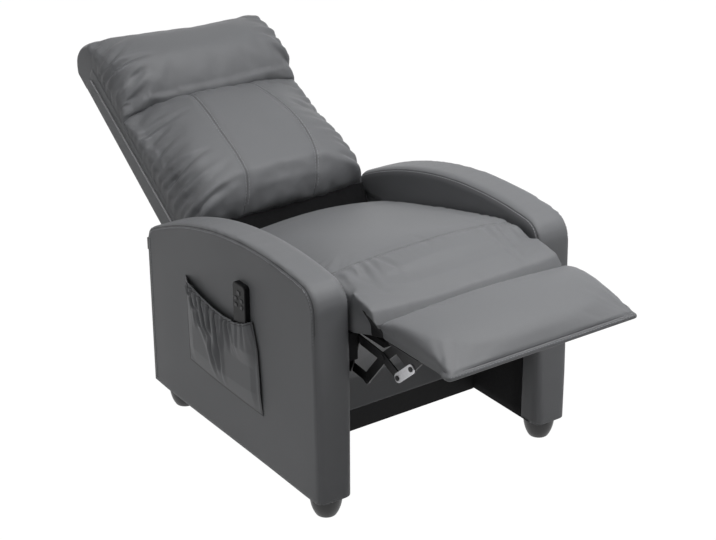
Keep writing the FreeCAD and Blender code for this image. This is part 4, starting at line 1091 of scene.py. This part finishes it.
pocket = new_grid("pocket_pouch", 190, 130)
places = points_of(pocket)
across = places[:, 0] + 0.5
upward = places[:, 1] + 0.5
level = 0.166 + upward * 0.217
front = np.interp(level, [z for z, _ in pouch_front[::-1]], [y for _, y in pouch_front[::-1]])
rear = np.interp(level, [z for z, _ in pouch_rear[::-1]], [y for _, y in pouch_rear[::-1]])
y = front + across * (rear - front)
rim = np.interp(y, rim_line[:, 0], rim_line[:, 1])
bottom = 0.163 + 0.012 * across ** 2 + 0.004 * (1 - across)
z = bottom + upward * (rim - bottom)
edge = np.minimum(across, 1 - across) * pouch_width
swell = ramp(edge, 0.030) ** 0.7 * ramp(upward, 0.22) ** 0.8
around_remote = np.exp(-(((y + 0.153) / 0.050) ** 4)) * ramp(z - 0.205, 0.100) ** 1.4
below_hem = ramp(rim - z - 0.0025, 0.010)
fold = np.zeros(len(y))
for top_y, top_z, low_y, low_z, strength in pouch_folds:
    top = np.array((top_y, top_z + 0.012))
    run = np.array((low_y, low_z)) - top
    length = np.linalg.norm(run)
    run = run / length
    reached = (np.c_[y, z] - top) @ run
    aside = (np.c_[y, z] - top) @ np.array([-run[1], run[0]])
    fade = np.clip(1 - reached / (length * 1.15), 0, 1) ** 0.8
    wide = 0.0042 + 0.022 * np.clip(reached, 0, 1)
    beside = (np.abs(aside) - 1.7 * wide) / (1.0 * wide)
    fold += strength * fade * (0.7 * np.exp(-(beside ** 2)) - np.exp(-((aside / wide) ** 2)))
out = (0.0092 + 0.0045 * np.clip(upward * 2 - 1, 0, 1)) * swell
out += 0.0100 * fold * ramp(edge, 0.012) * (1 - 0.40 * around_remote) * below_hem
remote_room = (0.0176 + 0.0050 * fold) * around_remote * ramp(edge, 0.010) ** 0.5
out = np.maximum(out, remote_room)
out += 0.0010 * np.clip(1 - np.abs(rim - z - 0.004) / 0.006, 0, 1) * ramp(edge, 0.02)
standing = ramp(0.16 - across, 0.13) * ramp(z - bottom - 0.004, 0.05)
out = np.maximum(out, 0.0056 * standing ** 0.5)
out = np.clip(out, pouch_least, pouch_most)
move_to(pocket, np.c_[panel_x - out, y, z])
hem_gap = (rim - z) - hem_depth
# The side and bottom seam distances are halved, which doubles the width of the painted shade lines along
# the pouch's borders.
side_seam_gap = (edge - 0.0022) * 0.5
mark_seams(pocket, [hem_gap, side_seam_gap, (z - bottom - 0.0022) * 0.5])
apply_modifier(pocket, "SOLIDIFY", thickness=pouch_thickness, offset=1.0)
edit_all(pocket, (bpy.ops.mesh.normals_make_consistent, {"inside": False}))
shade_soft(pocket, panel_vinyl)
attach(pocket, "base")
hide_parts("side_pocket", "pocket_hem")

# Feet: turned black plastic buns, each on a stud, with a slight taper and a softened rim.
black_plastic = Finish("black_plastic", roughness=0.38)
plastic_haze = black_plastic.noise(60.0, 4.0)
plastic_low = (0.005, 0.005, 0.0055)
plastic_high = (0.011, 0.011, 0.012)
black_plastic.feed("Base Color", black_plastic.blended(plastic_haze, plastic_low, plastic_high))
black_plastic.feed("Roughness", 0.30 + 0.22 * plastic_haze)
black_plastic.bump(black_plastic.noise(900.0, 2.0), 0.0001)
foot_radius = 0.035
foot_reach = 0.0625
foot_height = 0.050
foot_x = 0.2875
foot_rim = 0.0022
rim_angle = math.radians(40)
for end, y in (("front", -0.386), ("rear", 0.198)):
    halves = []
    for place in ((-foot_x, y, foot_height), (foot_x, y, foot_height)):
        bpy.ops.mesh.primitive_uv_sphere_add(segments=48, ring_count=40, radius=foot_radius, location=place)
        foot = bpy.context.view_layer.objects.active
        foot.scale = (1, 1, foot_reach / foot_radius)
        bpy.ops.object.transform_apply(location=True, rotation=True, scale=True)
        bpy.ops.object.mode_set(mode="EDIT")
        for height, keep_low in ((foot_height, True), (0.0, False)):
            bpy.ops.mesh.select_all(action="SELECT")
            bpy.ops.mesh.bisect(
                plane_co=(0, 0, height), plane_no=(0, 0, 1), use_fill=True,
                clear_outer=keep_low, clear_inner=not keep_low,
            )
        bpy.ops.object.mode_set(mode="OBJECT")
        halves.append(foot)
    select_only(halves[0])
    halves[1].select_set(True)
    bpy.ops.object.join()
    feet = bpy.context.view_layer.objects.active
    feet.name = end + "_bun_feet"
    apply_modifier(feet, "BEVEL", width=foot_rim, segments=3, limit_method="ANGLE", angle_limit=rim_angle)
    shade_soft(feet, black_plastic.material)
    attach(feet, "base")
    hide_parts(end + "_feet")

# Cloth and vinyl under the seat: a slanted apron behind the linkage, black lining on the arms'
# inner sides, and dust cloths under the base and behind the back cushion's lower edge.


def black_sheet(name, node, sag, seed, top):
    """A thin black cloth in place of its solid, with shallow puckers."""
    piece = node_copy(name, [node])
    divided = (bpy.ops.mesh.subdivide, {"number_cuts": 3})
    edit_all(piece, divided, divided)
    points = points_of(piece)
    points[:, 2] = np.minimum(points[:, 2], top)
    low = points.min(0)
    high = points.max(0)
    span = high - low
    inside = np.ones(len(points))
    thin = int(np.argmin(span))
    for axis in range(3):
        if axis != thin and span[axis] > 0.02:
            share = (points[:, axis] - low[axis]) / span[axis]
            inside *= ramp(np.minimum(share, 1 - share), 0.12)
    lengthways = gathers(points[:, 0] + 0.6 * points[:, 1], 0.11, seed)
    upwards = gathers(points[:, 2] + 0.4 * points[:, 0], 0.08, seed + 1)
    points[:, thin] += sag * (lengthways + upwards) / 2 * inside
    move_to(piece, points)
    shade_soft(piece, black_cloth.material)
    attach(piece, "base")
    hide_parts(node)


apron = new_grid("apron_cloth", 120, 90)
apron_path = np.array(((-0.388, 0.400), (-0.206, 0.182), (-0.2052, 0.176), (-0.2050, 0.102)))
apron_width = 0.489
apron_sag = 0.0016
apron_thickness = 0.001
places = points_of(apron)
steps = np.r_[0, np.cumsum(np.linalg.norm(np.diff(apron_path, axis=0), axis=1))]
run = (0.5 - places[:, 1]) * steps[-1]
x = places[:, 0] * apron_width
y = np.interp(run, steps, apron_path[:, 0])
z = np.interp(run, steps, apron_path[:, 1])
loose = ramp(np.minimum(run, steps[1] - run), 0.06) * ramp(apron_width / 2 - np.abs(x), 0.04)
ripple = gathers(x + 0.5 * run, 0.13, 81) + 0.6 * gathers(x - 0.8 * run, 0.21, 82)
sagged = apron_sag * ripple * loose
move_to(apron, np.c_[x, y - sagged * 0.77, z - sagged * 0.64])
apply_modifier(apron, "SOLIDIFY", thickness=apron_thickness, offset=0.0)
shade_soft(apron, plain_vinyl)
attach(apron, "base")
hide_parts("front_apron")


cloth_thickness = 0.0006
cloth_stand = 0.0009


def wrap(name, node, rear):
    """Black cloth stapled round a board's front: its solid's surface, a little proud of it."""
    piece = node_copy(name, [node])
    front_part = {"plane_co": (0, rear, 0), "plane_no": (0, 1, 0), "clear_outer": True}
    proud = (bpy.ops.transform.shrink_fatten, {"value": cloth_stand})
    edit_all(piece, (bpy.ops.mesh.bisect, front_part), proud)
    apply_modifier(piece, "SOLIDIFY", thickness=cloth_thickness, offset=-1.0)
    piece.data.materials.clear()
    piece.data.materials.append(black_cloth.material)
    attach(piece, "base")


wrap("rail_wraps", "seat_side_rails", -0.262)
wrap("front_board_wrap", "seat_front_board", -0.310)
dust_sag = 0.0012
uncut = 10.0
black_sheet("dust_cloth", "underside_cloth", dust_sag, 82, uncut)
gap_low = (0.0235, -0.0080)
gap_rise = (0.0600, 0.0360)
gap_width = 0.47
gap_sag = 0.0012
gap_cloth = new_grid("back_low_cloth", 60, 16)
places = points_of(gap_cloth)
run = places[:, 1] + 0.5
ripple = gathers(places[:, 0] * gap_width + run * 0.02, 0.07, 83)
ripple = ripple * ramp(np.minimum(run, 1 - run), 0.3)
gap_s = gap_low[0] + gap_rise[0] * run
gap_t = gap_low[1] + gap_rise[1] * run + gap_sag * ripple
move_to(gap_cloth, at_back(places[:, 0] * gap_width, gap_s, gap_t))
apply_modifier(gap_cloth, "SOLIDIFY", thickness=cloth_thickness, offset=0.0)
shade_soft(gap_cloth, black_cloth.material)
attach(gap_cloth, "backrest")
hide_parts("back_lower_cloth")
lining_sag = 0.0002
lining_cloth_top = 0.389
for side in ("left", "right"):
    black_sheet(
        side + "_lining_cloth", side + "_arm_lining",
        lining_sag, 84, lining_cloth_top,
    )

# Carried-over parts: boards, webbing, steel links, rivets, the remote, the inlet and what lies
# inside the chair keep their solids and get their finishes here.
zinc_low = (0.48, 0.48, 0.50)
zinc_high = (0.68, 0.68, 0.70)
zinc = clouded("zinc", 180.0, 4.0, zinc_low, zinc_high, relief=0.0002, rough=(0.24, 0.20), metallic=1.0)
steel_low = (0.006, 0.006, 0.0065)
steel_high = (0.016, 0.016, 0.017)
black_steel = clouded(
    "black_steel", 150.0, 4.0, steel_low, steel_high, relief=0.0003, rough=(0.32, 0.25), metallic=0.3
)
black_board = clouded(
    "black_board", 90.0, 4.0, black_low, black_high, relief=0.0004, rough=(0.7, 0.0), specular=dull_specular
)
webbing = Finish("webbing", roughness=0.85)
rib = webbing.waves("Y", {"Scale": 120.0})
webbing.feed("Base Color", webbing.blended(rib, (0.02, 0.02, 0.022), (0.09, 0.09, 0.095)))
webbing.bump(rib, 0.0005)
gloss_low = (0.004, 0.004, 0.0045)
gloss_high = (0.008, 0.008, 0.009)
remote_gloss = clouded(
    "remote_gloss", 40.0, 3.0, gloss_low, gloss_high, rough=(0.30, 0.14), specular=0.14
)
rubber_low = (0.045, 0.045, 0.047)
rubber_high = (0.080, 0.080, 0.083)
button_rubber = clouded(
    "button_rubber", 300.0, 3.0, rubber_low, rubber_high, relief=0.0002, rough=(0.6, 0.0)
)
circuit = Finish("circuit", roughness=0.45)
tracks = circuit.cells(220.0)
circuit.feed("Base Color", circuit.blended(tracks * 6.0, (0.10, 0.22, 0.10), (0.01, 0.10, 0.04)))
finishes = {
    "grey_vinyl": plain_vinyl,
    "padded_vinyl": plain_vinyl,
    "black_cloth": black_cloth.material,
    "black_board": black_board,
    "frame_wood": frame_wood.material,
    "webbing": webbing.material,
    "black_plastic": black_plastic.material,
    "black_steel": black_steel,
    "zinc_steel": zinc,
    "remote_plastic": remote_gloss,
    "button_rubber": button_rubber,
    "circuit_green": circuit.material,
}
for part in frame["record"]["subparts"]:
    node = frame["nodes"][part["node"]]
    if not node.hide_render:
        node.data.materials.clear()
        node.data.materials.append(finishes[part["material_slot"]])

# Floor and light: a wide pale floor that the camera sees as plain white and that throws some light
# back up, under four broad soft lamps, so that tops read lighter than sides.
floor_size = 40.0
floor_tone = (0.50, 0.50, 0.50, 1.0)
floor_shine = 1.03
shown_share = 0.98
world_fill = 0.04
white = (1, 1, 1, 1)


def seen_directly(nodes):
    """1 for what the camera sees, straight or in a gloss, and 0 for light that bounces."""
    kinds = ("Is Camera Ray", "Is Glossy Ray", "Is Transmission Ray")
    straight, glossy, through = [nodes.node("ShaderNodeLightPath", output=kind) for kind in kinds]
    return straight + glossy + through


bpy.ops.mesh.primitive_plane_add(size=floor_size, location=(0, 0, 0))
floor = bpy.context.view_layer.objects.active
floor.name = "floor"
floor_finish = Finish("floor", roughness=0.9)
floor_finish.surface.inputs["Base Color"].default_value = floor_tone
glow = floor_finish.node("ShaderNodeEmission", {}, {"Strength": floor_shine})
lit = Shade(floor_finish, floor_finish.surface.outputs[0])
share = shown_share * seen_directly(floor_finish)
mixed = floor_finish.node("ShaderNodeMixShader", {}, {0: share, 1: lit, 2: glow})
floor_output = floor_finish.tree.nodes["Material Output"]
floor_finish.tree.links.new(mixed.socket, floor_output.inputs["Surface"])
floor.data.materials.append(floor_finish.material)

studio = bpy.data.worlds.new("studio")
studio.use_nodes = True
bpy.context.scene.world = studio
sky = Nodes(studio.node_tree)
backdrop = sky.tree.nodes["Background"]
backdrop.inputs["Color"].default_value = white
strength = (1 - world_fill) * seen_directly(sky) + world_fill
sky.tree.links.new(strength.socket, backdrop.inputs["Strength"])

seat_middle = (0.0, -0.2, 0.4)
lamps = (
    ("top_lamp", (0.0, -0.4, 3.3), (0.0, -0.1, 0.4), 2.2, 33),
    ("near_lamp", (0.5, -0.7, 1.9), seat_middle, 1.2, 19.5),
    ("front_lamp", (0.6, -1.9, 1.8), seat_middle, 1.2, 3),
    ("side_lamp", (-4.0, -0.3, 1.4), (0.0, 0.0, 0.4), 2.0, 12),
)
for name, place, aim, size, power in lamps:
    data = bpy.data.lights.new(name, "AREA")
    data.shape = "SQUARE"
    data.size = size
    data.energy = power
    made = bpy.data.objects.new(name, data)
    bpy.context.scene.collection.objects.link(made)
    made.location = place
    made.rotation_mode = "QUATERNION"
    made.rotation_quaternion = (Vector(aim) - Vector(place)).to_track_quat("-Z", "Y")
